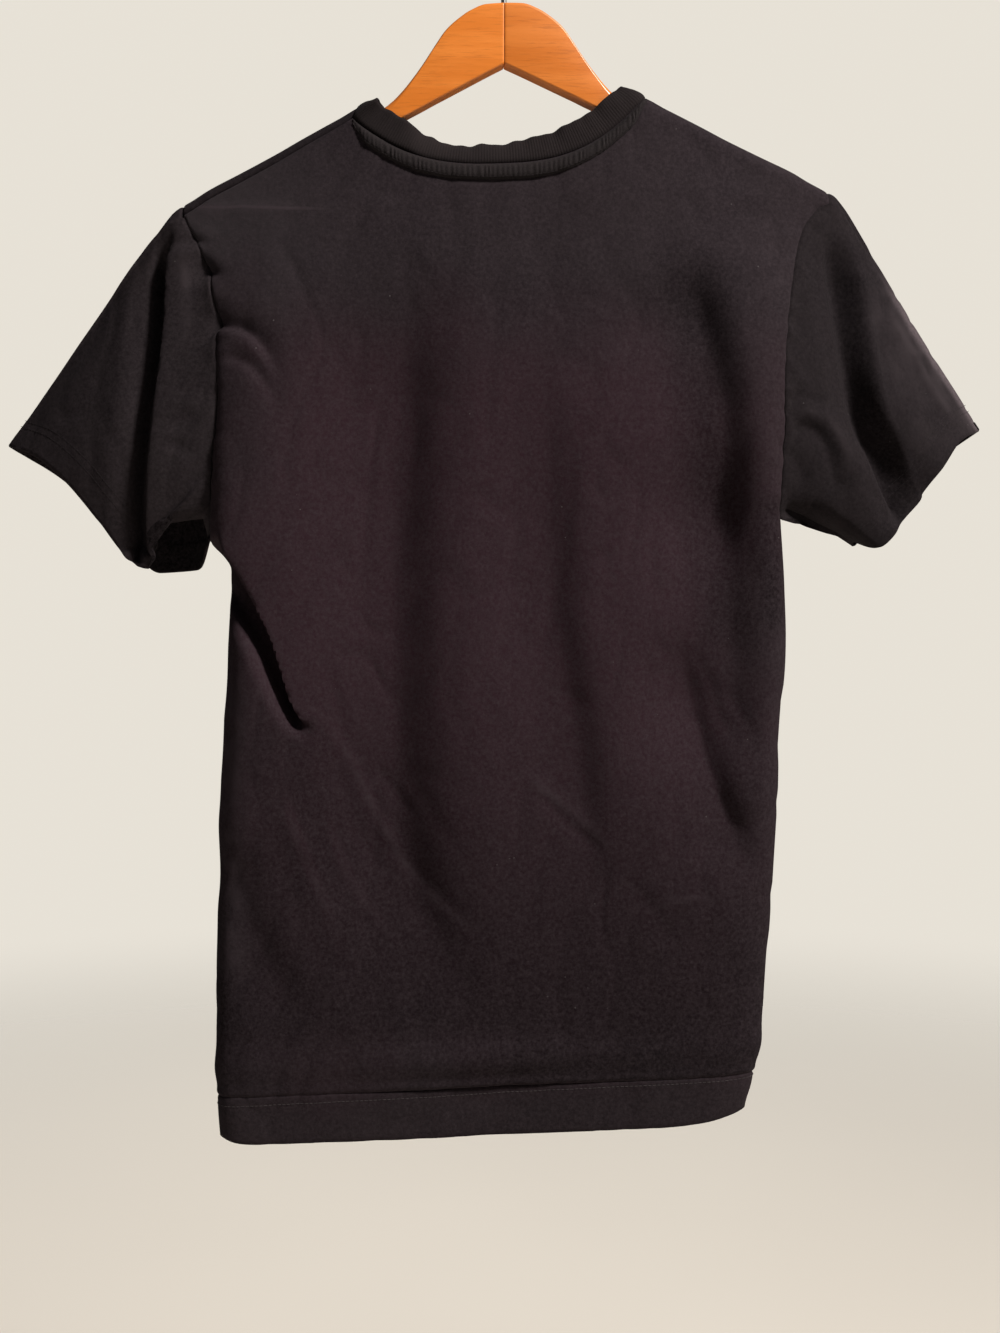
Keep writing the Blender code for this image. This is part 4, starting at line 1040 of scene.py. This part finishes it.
def add_stitches(name, lines, tree, pitch, length, thread):
    """Plain mesh of the stitches along some lines, each a list of points."""
    data = bpy.data.curves.new(name + "_line", "CURVE")
    data.dimensions = "3D"
    for line in lines:
        spline = data.splines.new("POLY")
        spline.points.add(len(line) - 1)
        spline.points.foreach_set("co", np.append(lean(line), np.ones((len(line), 1)), 1).ravel())
    curve = add_object(name + "_line", data)
    made = curve.modifiers.new("stitches", "NODES")
    made.node_group = tree
    sizes = {"Pitch": pitch, "Stitch length": length, "Thread": thread}
    for item in tree.interface.items_tree:
        if item.name in sizes:
            made[item.identifier] = sizes[item.name]
    mesh = plain_mesh(curve)
    bpy.data.objects.remove(curve, do_unlink=True)
    mesh.name = name
    mesh.shade_smooth()
    return add_object(name, mesh)


def line_at_height(grid, normal, half, heights):
    """A line across a panel, on its outer face, at a height for each column."""
    line = []
    for j, wanted in enumerate(heights):
        z = grid[UPPER:, j, 2]
        k = int(np.clip(np.searchsorted(-z, -wanted), 1, len(z) - 1))
        u = (wanted - z[k - 1]) / (z[k] - z[k - 1])
        at = UPPER + k
        spot = grid[at - 1, j] * (1 - u) + grid[at, j] * u
        line.append(spot + normal[at, j] * (half[at, j] + STITCH_LIFT))
    return resample(np.array(line), STITCH_POINTS)


def line_round_sleeve(grid, normal, half, from_hem, distance):
    """A line round a sleeve, that far from its hem."""
    line = []
    for j in range(grid.shape[1]):
        k = int(np.argmin(np.abs(from_hem[:, j] - distance)))
        k = min(max(k, 1), grid.shape[0] - 2)
        other = k + 1 if from_hem[k, j] > distance else k - 1
        gap = from_hem[other, j] - from_hem[k, j]
        u = (distance - from_hem[k, j]) / gap if abs(gap) > 1e-9 else 0.0
        spot = grid[k, j] * (1 - u) + grid[other, j] * u
        line.append(spot + normal[k, j] * (0.2 * half[k, j] + 0.4 * JERSEY + STITCH_LIFT))
    return resample(np.array(line + line[:1]), STITCH_POINTS)


# ================================================================= hanger
WOOD_SHARP, WIRE_SHARP = 40, 60      # degrees from which an edge is shaded sharp
ARM_CORNER = 9           # points of each corner of an arm's section
ARM_STARTS = {0.00015: 0.0003, 0.0004: 0.0001, 0.0008: 0.0}    # x, how much smaller it is there
ARM_RINGS, ARM_END_RINGS = 96, 8
ARM_END_FROM, ARM_END_LENGTH = 0.199, 0.010


def arm_ring(x, side, shrink):
    """Section of the board at x: round on top, softly rounded below."""
    half = ARM_DEPTH / 2 - shrink
    top, low = float(arm_top(x)) - shrink, float(arm_low(x)) + shrink
    low_round = min(ARM_LOW_ROUND, (top - low) * LOW_ROUND_SHARE)
    softer = float(ease((x - 0.050) / 0.035))
    top_round = ARM_CRISP_ROUND + (ARM_TOP_ROUND - ARM_CRISP_ROUND) * softer
    top_round = min(top_round - shrink, (top - low) * TOP_ROUND_SHARE)
    place = HANGER_X + side * x
    ring = []
    for y, z, radius, start in (
            (half - top_round, top - top_round, top_round, 0),
            (-half + top_round, top - top_round, top_round, 90),
            (-half + low_round, low + low_round, low_round, 180),
            (half - low_round, low + low_round, low_round, 270)):
        for k in range(ARM_CORNER):
            angle = math.radians(start + 90 * k / (ARM_CORNER - 1))
            ring.append((place, ridge_y(place) + y + radius * math.cos(angle),
                         z + radius * math.sin(angle)))
    return np.array(ring)


def loft(name, rings, material, sharp=WOOD_SHARP):
    """A solid through closed rings, with a flat face on each end, its faces turned outwards."""
    count = len(rings[0])
    faces = []
    for i in range(len(rings) - 1):
        for j in range(count):
            k = (j + 1) % count
            faces.append((i * count + j, i * count + k, (i + 1) * count + k, (i + 1) * count + j))
    faces.append(tuple(range(count))[::-1])
    faces.append(tuple(range((len(rings) - 1) * count, len(rings) * count)))
    mesh = bpy.data.meshes.new(name)
    points = np.concatenate(rings)
    mesh.from_pydata([tuple(map(float, p)) for p in points], [], faces)
    mesh.validate()
    a, b = np.array(rings), np.roll(rings, -1, axis=1)
    volume = np.sum(np.cross(a[:-1], b[:-1]) * a[1:]) + np.sum(np.cross(b[:-1], b[1:]) * a[1:])
    if volume < 0:
        mesh.flip_normals()
    finish_mesh(mesh, material, sharp)
    return add_object(name, mesh)


def wire_ring(centre, ahead, radius, sides):
    across = np.array([ahead[2], 0, -ahead[0]])
    angles = 2 * np.pi * np.arange(sides) / sides
    return (centre + radius * (across * np.cos(angles)[:, None]
                               + np.array([0, 1.0, 0]) * np.sin(angles)[:, None]))


def hook_path():
    """The wire's middle line: up out of the wood, out to the side and round over the origin."""
    neck = np.array([HANGER_X, 0, CREST + HOOK_NECK])
    radius = HOOK_INSIDE + WIRE / 2
    angles = np.radians(np.linspace(HOOK_FROM, HOOK_TO, 73))
    bow = [np.array([radius * math.cos(a), 0, radius * math.sin(a) - HOOK_INSIDE])
           for a in angles]
    foot = np.array([HANGER_X, 0, CREST - HOOK_SINK])
    path = [foot * (1 - k / 6) + neck * k / 6 for k in range(7)]
    leave = np.array([0, 0, 1.0])
    arrive = np.array([-math.sin(angles[0]), 0, math.cos(angles[0])])
    pull = np.linalg.norm(bow[0] - neck) * NECK_PULL
    for k in range(1, 20):
        u = k / 20
        path.append(neck * (1 - u) ** 2 * (1 + 2 * u) + bow[0] * u * u * (3 - 2 * u)
                    + leave * pull * u * (1 - u) ** 2 - arrive * pull * u * u * (1 - u))
    return path + bow


def make_hanger(wood_left, wood_right, steel):
    path = hook_path()
    rings = []
    for k, point in enumerate(path):
        ahead = unit(path[min(k + 1, len(path) - 1)] - path[max(k - 1, 0)])
        rings.append(wire_ring(point, ahead, WIRE / 2, WIRE_SIDES))
    ahead = unit(path[-1] - path[-2])
    for k in range(1, 5):
        angle = math.pi / 2 * k / 5
        rings.append(wire_ring(path[-1] + ahead * WIRE / 2 * math.sin(angle), ahead,
                               WIRE / 2 * math.cos(angle), WIRE_SIDES))
    hook = loft("wire_hook", rings, steel, WIRE_SHARP)
    up = np.array([0, 0, 1.0])
    drill = loft("drill", [wire_ring(np.array([HANGER_X, 0, z]), up, HOOK_HOLE / 2, HOLE_SIDES)
                           for z in (CREST - HOOK_SINK - 0.0006, CREST + 0.004)], wood_left)
    arms = []
    for name, side, wood in (("left_arm", 1, wood_left), ("right_arm", -1, wood_right)):
        end = np.sin(np.linspace(0.2, np.pi / 2, ARM_END_RINGS))
        xs = np.concatenate([list(ARM_STARTS), np.linspace(0.002, ARM_END_FROM, ARM_RINGS),
                             ARM_END_FROM + ARM_END_LENGTH * end])
        arm = loft(name, [lean(arm_ring(x, side, ARM_STARTS.get(x, 0.0))) for x in xs], wood)
        cut = arm.modifiers.new("hook_hole", "BOOLEAN")
        cut.operation, cut.solver, cut.object = "DIFFERENCE", "EXACT", drill
        bored = plain_mesh(arm)
        arm.modifiers.clear()
        arm.data = bored
        bored.set_sharp_from_angle(angle=math.radians(WOOD_SHARP))
        arms.append(arm)
    bpy.data.objects.remove(drill, do_unlink=True)
    return arms, hook


# ================================================================= materials
class Finish(Nodes):
    """A material built from nodes, with the few steps that every finish here uses."""

    def __init__(self, name):
        self.material = bpy.data.materials.new(name)
        self.material.use_nodes = True
        super().__init__(self.material.node_tree)
        self.shader = self.tree.nodes["Principled BSDF"]

    def coordinates(self, output="Object"):
        return self.node("ShaderNodeTexCoord").outputs[output]

    def axes(self, output="Object"):
        return self.node("ShaderNodeSeparateXYZ", {"Vector": self.coordinates(output)}).outputs

    def place(self, scale=(1, 1, 1), turn=0.0):
        return self.node("ShaderNodeMapping", {
            "Vector": self.coordinates(), "Scale": scale, "Rotation": (0.0, turn, 0.0)})

    def noise(self, at, scale, detail=2.0, rough=0.5):
        return self.node("ShaderNodeTexNoise", {
            "Vector": at, "Scale": scale, "Detail": detail, "Roughness": rough})

    def times(self, a, b):
        return self.math("MULTIPLY", a, b)

    def mix(self, share, a, b):
        return self.node("ShaderNodeMix", {0: share, 6: a, 7: b}, data_type="RGBA")

    def bump(self, height, distance, strength, before=None):
        inputs = {"Height": height, "Distance": distance, "Strength": strength}
        return self.node("ShaderNodeBump", inputs if before is None else
                         {**inputs, "Normal": before})

    def made(self, inputs):
        """The finished material, once its shader has its inputs."""
        for name, value in inputs.items():
            self.feed(self.shader.inputs[name], value)
        return self.material


def toned(color, share):
    return tuple(part * share for part in color)


def knit(finish, wale, course):
    """Height of a plain knit: columns of small V stitches on the piece's own flat places."""
    u, v, _ = finish.axes("UV")
    u, v = finish.math("DIVIDE", u, wale), finish.math("DIVIDE", v, course)
    off = finish.math("ABSOLUTE", finish.math("SUBTRACT", finish.math("FRACT", u), 0.5))
    slant = finish.times(finish.math("MULTIPLY_ADD", off, 1.6, v), 2 * math.pi)
    legs = finish.math("MULTIPLY_ADD", finish.math("SINE", slant), 0.5, 0.5)
    across = finish.times(finish.math("SUBTRACT", off, 0.25), 4.0)
    column = finish.math("SUBTRACT", 1.0, finish.times(across, across))
    return finish.math("MULTIPLY_ADD", legs, 0.4, finish.times(column, 0.6))


SHOULDER_COLOR = (0.0390, 0.0335, 0.0365)
LINT_COLOR = (0.13, 0.12, 0.12)


def jersey_finish(name, dark, pale, warm=None, pressed=None):
    """Washed black cotton jersey. warm is the faint brown-purple to which its middle has faded.
    pressed is a thin pale crease: its drop per metre, its height at x 0, its two ends."""
    cloth = Finish(name)
    at = cloth.place()
    x, _, z = cloth.axes()
    color = cloth.mix(cloth.span(cloth.noise(at, 9.0, 3.0), 0.35, 0.65), dark, pale)
    if warm is not None:
        wander = cloth.times(cloth.math("SUBTRACT", cloth.noise(at, 11.0, 2.0), 0.5), 0.10)
        high = cloth.math("ADD", z, wander)
        off = cloth.math("ABSOLUTE", cloth.math("ADD", x, -0.002))
        middle = cloth.span(cloth.math("ADD", off, wander), 0.125, 0.235, 1.0, 0.0)
        middle = cloth.times(middle, cloth.span(high, -0.34, -0.24, 1.0, 0.0))
        middle = cloth.times(middle, cloth.span(high, -0.815, -0.735))
        color = cloth.mix(middle, color, warm)
        shoulder = cloth.times(cloth.span(x, 0.09, 0.20), cloth.span(high, -0.30, -0.22))
        color = cloth.mix(cloth.times(shoulder, 0.85), color, SHOULDER_COLOR)
    # painted shade: darker towards the hem, where less light falls, less so at the lower left and
    # on the hem itself
    height = cloth.math("MULTIPLY_ADD", x, LEAN, z)
    band = cloth.span(height, HEM_LINE - 0.001, HEM_LINE + 0.003, 0.15, 1.0)
    painted_low_shade = cloth.times(cloth.span(height, -0.80, -0.48, 0.85, 0.0), band)
    left_low = cloth.times(cloth.span(height, -0.785, -0.735, 0.75, 0.0),
                           cloth.span(x, -0.02, 0.08))
    painted_low_shade = cloth.times(painted_low_shade, cloth.math("SUBTRACT", 1.0, left_low))
    color = cloth.mix(painted_low_shade, color, toned(dark, 0.42))
    # paler where faded with use and where highlights are painted, the pressed crease, and painted
    # shade
    tone = cloth.node("ShaderNodeAttribute", attribute_name="wear_and_painted_light").outputs["Fac"]
    patchy = cloth.span(cloth.noise(at, 60.0, 2.0), 0.3, 0.7, 0.15, 0.6)
    wear_and_painted_highlight = cloth.times(cloth.math("MAXIMUM", tone, 0.0), patchy)
    if pressed is not None:
        drop, height, inner, outer = pressed
        line = cloth.math("MULTIPLY_ADD", x, drop, z)
        line = cloth.math("MULTIPLY_ADD", cloth.noise(at, 45.0, 1.0), 0.0022, line)
        line = cloth.math("ABSOLUTE", cloth.math("SUBTRACT", line, height + 0.0011))
        line = cloth.span(line, 0.0004, 0.0013, 1.0, 0.0)
        within = cloth.times(cloth.span(x, inner, inner + 0.05),
                             cloth.span(x, outer - 0.004, outer, 1.0, 0.0))
        wear_and_painted_highlight = cloth.math("MULTIPLY_ADD", cloth.times(line, within), 0.75, wear_and_painted_highlight)
    # painted shade where the marks fall below nought
    color = cloth.mix(cloth.span(tone, -1.0, 0.0, 1.0, 0.0, smooth=False), color,
                      toned(dark, 0.12))
    color = cloth.mix(wear_and_painted_highlight, color, toned(pale, 2.3))
    # painted highlight along the right sleeve's top fold, where the marks run highest
    color = cloth.mix(cloth.span(tone, 1.6, 5.8, 0.0, 0.8), color, toned(pale, 8.0))
    # grain and lint
    grain = cloth.noise(at, 420.0, 4.0, 0.8)
    color = cloth.mix(cloth.span(grain, 0.36, 0.70, 0.0, 0.62, smooth=False), color,
                      toned(pale, 2.2))
    lint = cloth.node("ShaderNodeTexVoronoi", {"Vector": at, "Scale": 170.0}, feature="F1",
                      distance="EUCLIDEAN")
    speck = cloth.times(cloth.span(lint, 0.05, 0.085, 1.0, 0.0),
                        cloth.span(cloth.noise(at, 95.0, 1.0), 0.66, 0.72))
    color = cloth.mix(speck, color, LINT_COLOR)
    soft = cloth.bump(cloth.noise(at, 85.0, 4.0, 0.6), 0.0012, 0.55)
    return cloth.made({
        "Base Color": color, "Roughness": cloth.span(grain, 0.2, 0.8, 0.84, 0.98, smooth=False),
        "Specular IOR Level": 0.03, "Sheen Weight": 0.01, "Sheen Roughness": 0.40,
        "Sheen Tint": (0.80, 0.76, 0.78),
        "Normal": cloth.bump(knit(cloth, 0.00085, 0.0007), 0.00018, 0.7, before=soft)})


def trim_finish(name, fineness, colors, wear_and_painted_light, share, rough, stitch, relief):
    """The finer cloth of the neck band and the tape. Its fourth argument is only the color of its
    high spots, faded with use.
    """
    cloth = Finish(name)
    at = cloth.place()
    grain = cloth.noise(at, fineness, 2.0, 0.7)
    color = cloth.mix(cloth.span(cloth.noise(at, 18.0, 2.0), 0.35, 0.65), *colors)
    return cloth.made({
        "Base Color": cloth.mix(cloth.span(grain, 0.3, 0.7, 0.0, share, smooth=False), color,
                                wear_and_painted_light),
        "Roughness": cloth.span(grain, 0.2, 0.8, *rough, smooth=False),
        "Specular IOR Level": 0.04, "Sheen Weight": 0.02, "Sheen Roughness": 0.5,
        "Normal": cloth.bump(knit(cloth, *stitch), 0.00015, relief)})


def thread_finish(name, dark, pale):
    thread = Finish(name)
    twist = thread.noise(thread.place(), 2600.0, 1.0)
    return thread.made({
        "Base Color": thread.mix(thread.span(twist, 0.3, 0.7), dark, pale),
        "Roughness": thread.span(twist, 0.3, 0.7, 0.75, 0.9),
        "Specular IOR Level": 0.08, "Normal": thread.bump(twist, 0.0001, 0.6)})


def wood_finish(name, pale, deep, lean_of_grain):
    """Stained beech under satin lacquer, its grain along the arm."""
    wood = Finish(name)
    streaks = wood.noise(wood.place((7.0, 60.0, 90.0), lean_of_grain), 1.0, 6.0, 0.62)
    fine = wood.noise(wood.place((60.0, 700.0, 900.0), lean_of_grain), 1.0, 3.0, 0.6)
    broad = wood.noise(wood.place(), 7.0, 2.0)
    color = wood.mix(wood.span(streaks, 0.32, 0.68), deep, pale)
    color = wood.mix(wood.span(broad, 0.3, 0.7, 0.0, 0.35), color, toned(pale, 1.12))
    color = wood.mix(wood.span(fine, 0.52, 0.72, 0.0, 0.35), color, toned(deep, 0.55))
    return wood.made({
        "Base Color": color, "Roughness": wood.span(streaks, 0.2, 0.8, 0.36, 0.50),
        "Coat Weight": 0.35, "Coat Roughness": 0.22, "Normal": wood.bump(fine, 0.00012, 0.5)})


def steel_finish():
    steel = Finish("bright_steel_wire")
    drawn = steel.noise(steel.place((400.0, 400.0, 60.0)), 1.0, 3.0)
    color = steel.mix(steel.span(steel.noise(steel.place(), 60.0, 2.0), 0.3, 0.7),
                      (0.56, 0.56, 0.55), (0.68, 0.68, 0.66))
    return steel.made({
        "Base Color": color, "Metallic": 1.0, "Roughness": steel.span(drawn, 0.2, 0.8, 0.18, 0.34),
        "Normal": steel.bump(drawn, 0.00008, 0.4)})


# ================================================================= camera, floor and light
CAMERA_AIM = Vector((0.004, 0.0, -0.508))
CAMERA_YAW, CAMERA_PITCH, CAMERA_REACH = math.radians(3.0), math.radians(3.5), 1.12
CAMERA_LENS, CAMERA_SENSOR = 45.0, 36.0      # mm
FLOOR_Z, FLOOR_RADIUS, FLOOR_SIDES = -1.45, 4.0, 96
PALE = (0.80, 0.755, 0.675)
SKY_COLOR = (0.97, 0.96, 1.0)
# name, place, aim, size, power in watts, color
LIGHTS = [
    ("key", (-1.90, 1.53, 1.93), (0.0, 0.0, -0.45), 0.62, 165.0, (1.0, 0.95, 0.90)),
    ("far", (0.6, -2.2, 0.7), (0.0, 0.0, -0.5), 1.8, 32.0, (1.0, 0.96, 0.92)),
]


def look_at(obj, place, aim):
    obj.location = place
    obj.rotation_euler = (Vector(aim) - Vector(place)).to_track_quat("-Z", "Y").to_euler()


def make_camera():
    camera = add_object("camera", bpy.data.cameras.new("camera"))
    camera.data.lens, camera.data.sensor_width = CAMERA_LENS, CAMERA_SENSOR
    camera.data.clip_start = 0.05
    away = Vector((math.sin(CAMERA_YAW) * math.cos(CAMERA_PITCH),
                   math.cos(CAMERA_YAW) * math.cos(CAMERA_PITCH), math.sin(CAMERA_PITCH)))
    look_at(camera, CAMERA_AIM + away * CAMERA_REACH, CAMERA_AIM)
    bpy.context.scene.camera = camera


def make_floor():
    """A plain pale floor that fades into pale surroundings."""
    mesh = bpy.data.meshes.new("floor")
    turns = [2 * math.pi * k / FLOOR_SIDES for k in range(FLOOR_SIDES)]
    ring = [(FLOOR_RADIUS * math.cos(turn), FLOOR_RADIUS * math.sin(turn), FLOOR_Z)
            for turn in turns]
    mesh.from_pydata(ring, [], [tuple(range(FLOOR_SIDES))])
    plain = Finish("pale_floor")
    color = plain.mix(plain.span(plain.noise(plain.place(), 1.3, 2.0), 0.3, 0.7), PALE,
                      toned(PALE, 0.975))
    mesh.materials.append(plain.made({
        "Base Color": color, "Roughness": 0.9, "Specular IOR Level": 0.1}))
    away = plain.node("ShaderNodeVectorMath", {0: plain.coordinates()}, operation="LENGTH")
    blend = plain.node("ShaderNodeMixShader", {
        "Fac": plain.span(away, 1.7, 3.9, 1.0, 0.0),
        1: plain.node("ShaderNodeBsdfTransparent"), 2: plain.shader})
    plain.feed(plain.tree.nodes["Material Output"].inputs["Surface"], blend)
    floor = add_object("floor", mesh)


def make_surroundings():
    """Pale to look at, and a weak sky that lights the shirt from above."""
    world = bpy.data.worlds.new("pale_room")
    world.use_nodes = True
    bpy.context.scene.world = world
    room = Nodes(world.node_tree)
    seen = room.tree.nodes["Background"]
    room.feed(seen.inputs["Color"], PALE)
    way = room.node("ShaderNodeSeparateXYZ",
                    {"Vector": room.node("ShaderNodeTexCoord").outputs["Generated"]}).outputs
    lit = room.node("ShaderNodeBackground", {
        "Color": SKY_COLOR, "Strength": room.span(way["Z"], -0.5, 0.7, 0.02, 0.10)})
    choose = room.node("ShaderNodeMixShader", {
        "Fac": room.node("ShaderNodeLightPath").outputs["Is Camera Ray"], 1: lit, 2: seen})
    room.feed(room.tree.nodes["World Output"].inputs["Surface"], choose)


def make_lights():
    """Soft light from high on the right, and a weak one on the front, unseen in the lacquer."""
    for name, place, aim, size, power, color in LIGHTS:
        data = bpy.data.lights.new(name, "AREA")
        data.shape, data.size, data.energy, data.color = "DISK", size, power, color
        light = add_object(name, data)
        light.visible_glossy = name == "key"
        look_at(light, place, aim)


# ================================================================= the whole
def dip_seams(grid, normal, edges):
    """Sink the cloth where it goes down into a seam. edges are distances from each seam and the
    share of the full depth there."""
    for distance, share in edges:
        dip = SEAM_DIP * share * np.exp(-(distance / SEAM_HALF) ** 2)
        grid -= normal * dip[..., None]


def run_of(grid, axis):
    step = np.linalg.norm(np.diff(grid, axis=axis), axis=-1)
    zero = np.zeros_like(np.take(step, [0], axis=axis))
    return np.concatenate([zero, np.cumsum(step, axis=axis)], axis=axis)


def thickness(from_line):
    """Half the thickness of cloth at that distance below a hem's stitch line."""
    return JERSEY / 2 + HEM_EXTRA * ease((from_line + 0.0006) / 0.0012)


def share_normals(pieces):
    """Where pieces meet in a seam, their walls stand in the same direction."""
    meeting = {}
    for grid, normal in pieces:
        edge = np.ones(grid.shape[:2], bool)
        edge[1:-1, 1:-1] = False
        for i, j in zip(*np.nonzero(edge)):
            place = tuple(np.round(grid[i, j] * 1e5 + 0.123))
            meeting.setdefault(place, []).append((normal, i, j))
    for members in meeting.values():
        mean = unit(sum(normal[i, j] for normal, i, j in members))
        for normal, i, j in members:
            normal[i, j] = mean


def add_panel(name, panel, normal, material):
    """A body panel's piece, and the line of its hem's stitches."""
    grid, flat, wear_and_painted_light = panel
    half = thickness(HEM_LINE - grid[..., 2])
    stitched = line_at_height(grid, normal, half, HEM_LINE - HEM_STITCHES_DOWN
                              - HEM_STITCHES_LEAN * grid[-1, :, 0])
    down, across = run_of(grid, 0), run_of(grid, 1)
    from_neck = np.abs(grid[0, :, 0] - NECK_X)
    drawn = grid.copy()
    if name == "back":      # a groove under the tape
        under = np.exp(-((down - TAPE_TO - TAPE_GROOVE_DOWN) / TAPE_GROOVE_HALF) ** 2)
        under = under * (from_neck < NECK_HALF - 0.006)
        drawn -= normal * (TAPE_GROOVE * under)[..., None]
    shoulder = np.where(from_neck > NECK_HALF, 1.5, 1.0)[None, :]
    tight = 0.30 + ease((grid[..., 2] + 0.30) / 0.04)      # more so at the armhole
    dip_seams(drawn, normal, ((down, shoulder), (across, 0.6),
                              (across[:, -1:] - across, tight)))
    return add_shell(name, drawn, normal, half, flat, material, wear_and_painted_light=wear_and_painted_light), stitched


def add_sleeve(name, sleeve, normal, material):
    """A sleeve's piece, and the two lines of its hem's stitches."""
    grid, flat, girth, from_hem, wear_and_painted_light = sleeve
    half = thickness(SLEEVE_BAND - from_hem)
    stitched = [line_round_sleeve(grid, normal, half, from_hem, SLEEVE_BAND - lower)
                for lower in SLEEVE_STITCHES_DOWN]
    drawn = grid - normal * (0.8 * (half - JERSEY / 2))[..., None]     # the hem thickens inwards
    dip_seams(drawn, normal, ((run_of(grid, 0), 0.6),))
    return add_shell(name, drawn, normal, half, flat, material, girth=girth, wear_and_painted_light=wear_and_painted_light), stitched


def make_shirt():
    jersey = {
        "back": jersey_finish("jersey_back", (0.0190, 0.0147, 0.0171), (0.0229, 0.0177, 0.0202),
                              (0.0300, 0.0148, 0.0200), (-0.0413, -0.2131, 0.100, 0.2085)),
        "front": jersey_finish("jersey_black", (0.0148, 0.0119, 0.0135),
                               (0.0182, 0.0145, 0.0161)),
        # the sleeves are one cloth: the left one's copy painted lighter, as lit, the right one's
        # darker, as in shade
        "left": jersey_finish("jersey_left_sleeve", (0.0195, 0.0157, 0.0176),
                              (0.0238, 0.0192, 0.0211)),
        "right": jersey_finish("jersey_right_sleeve", (0.0128, 0.0105, 0.0117),
                               (0.0160, 0.0130, 0.0142))}
    pale_tree = stitch_tree(thread_finish("faded_thread", (0.034, 0.029, 0.030),
                                          (0.080, 0.070, 0.072)))
    dark_tree = stitch_tree(thread_finish("dark_thread", (0.020, 0.0162, 0.0176),
                                          (0.031, 0.0257, 0.0274)))
    panels = make_panels()
    back, front = panels["back"][0], panels["front"][0]
    normals = {"back": -normals_of(back), "front": normals_of(front)}
    sleeves = {}
    for side, column, sign in (("left", -1, 1), ("right", 0, -1)):
        sleeves[side] = sleeve_grid(side, armhole(back, front, column))
        normals[side] = normals_of(sleeves[side][0], closed=True) * sign
    share_normals([(made[0], normals[name]) for name, made in {**panels, **sleeves}.items()])

    rib_cloth = trim_finish("neck_rib_knit", 1300.0, ((0.0150, 0.0120, 0.0125),
                            (0.0185, 0.0147, 0.0150)), (0.034, 0.027, 0.028), 0.4,
                            (0.85, 0.98), (RIB_PITCH / 2, 0.0008), 0.7)
    tape_cloth = trim_finish("neck_tape_jersey", 1500.0, ((0.014, 0.0117, 0.0122),) * 2,
                             (0.031, 0.026, 0.027), 1.0, (0.84, 0.97), (0.0007, 0.0006), 0.6)
    band, band_length = make_neck_band(back, front, normals["back"], normals["front"], rib_cloth)
    tape, tape_line, tape_length = make_tape(back, normals["back"], tape_cloth)
    pieces = {"neck_band": band, "back_neck_tape": tape}
    hem_lines, sleeve_lines = [], []
    for name, panel in panels.items():
        pieces[name], line = add_panel(name, panel, normals[name], jersey[name])
        hem_lines.append(line)
    for side, sleeve in sleeves.items():
        name = side + "_sleeve"
        pieces[name], lines = add_sleeve(name, sleeve, normals[side], jersey[side])
        sleeve_lines += lines
    for name, lines, tree, pitch, length, thread in (
            ("hem_stitches", hem_lines, pale_tree, 0.0031, 0.0027, 0.0005),
            ("sleeve_stitches", sleeve_lines, dark_tree, 0.0031, 0.0026, 0.00036),
            ("tape_stitches", [tape_line], dark_tree, 0.0028, 0.0024, 0.00045)):
        pieces[name] = add_stitches(name, lines, tree, pitch, length, thread)
    return pieces, band_length, tape_length


bpy.context.scene.view_settings.view_transform = "Standard"
make_camera()
make_floor()
make_surroundings()
make_lights()
shirt, band_length, tape_length = make_shirt()
# one wood in two copies: the left arm's painted paler, as lit, the right arm's darker, as in shade
arms, hook = make_hanger(
    wood_finish("lacquered_wood_left", (0.92, 0.275, 0.034), (0.76, 0.200, 0.018), 0.52),
    wood_finish("lacquered_wood_right", (0.78, 0.225, 0.026), (0.62, 0.155, 0.013), -0.52),
    steel_finish())
for piece, node, slot in (
        ("back", "back_panel", "jersey"), ("front", "front_panel", "jersey"),
        ("left_sleeve", "sleeve_left", "jersey"), ("right_sleeve", "sleeve_right", "jersey"),
        ("neck_band", "neck_rib", "rib"), ("back_neck_tape", "neck_tape", "tape")):
    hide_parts(node)
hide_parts("hanger_arm_left")
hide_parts("hanger_arm_right")
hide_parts("hanger_hook")
for piece in [*shirt.values(), *arms, hook]:
    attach(piece, "root")
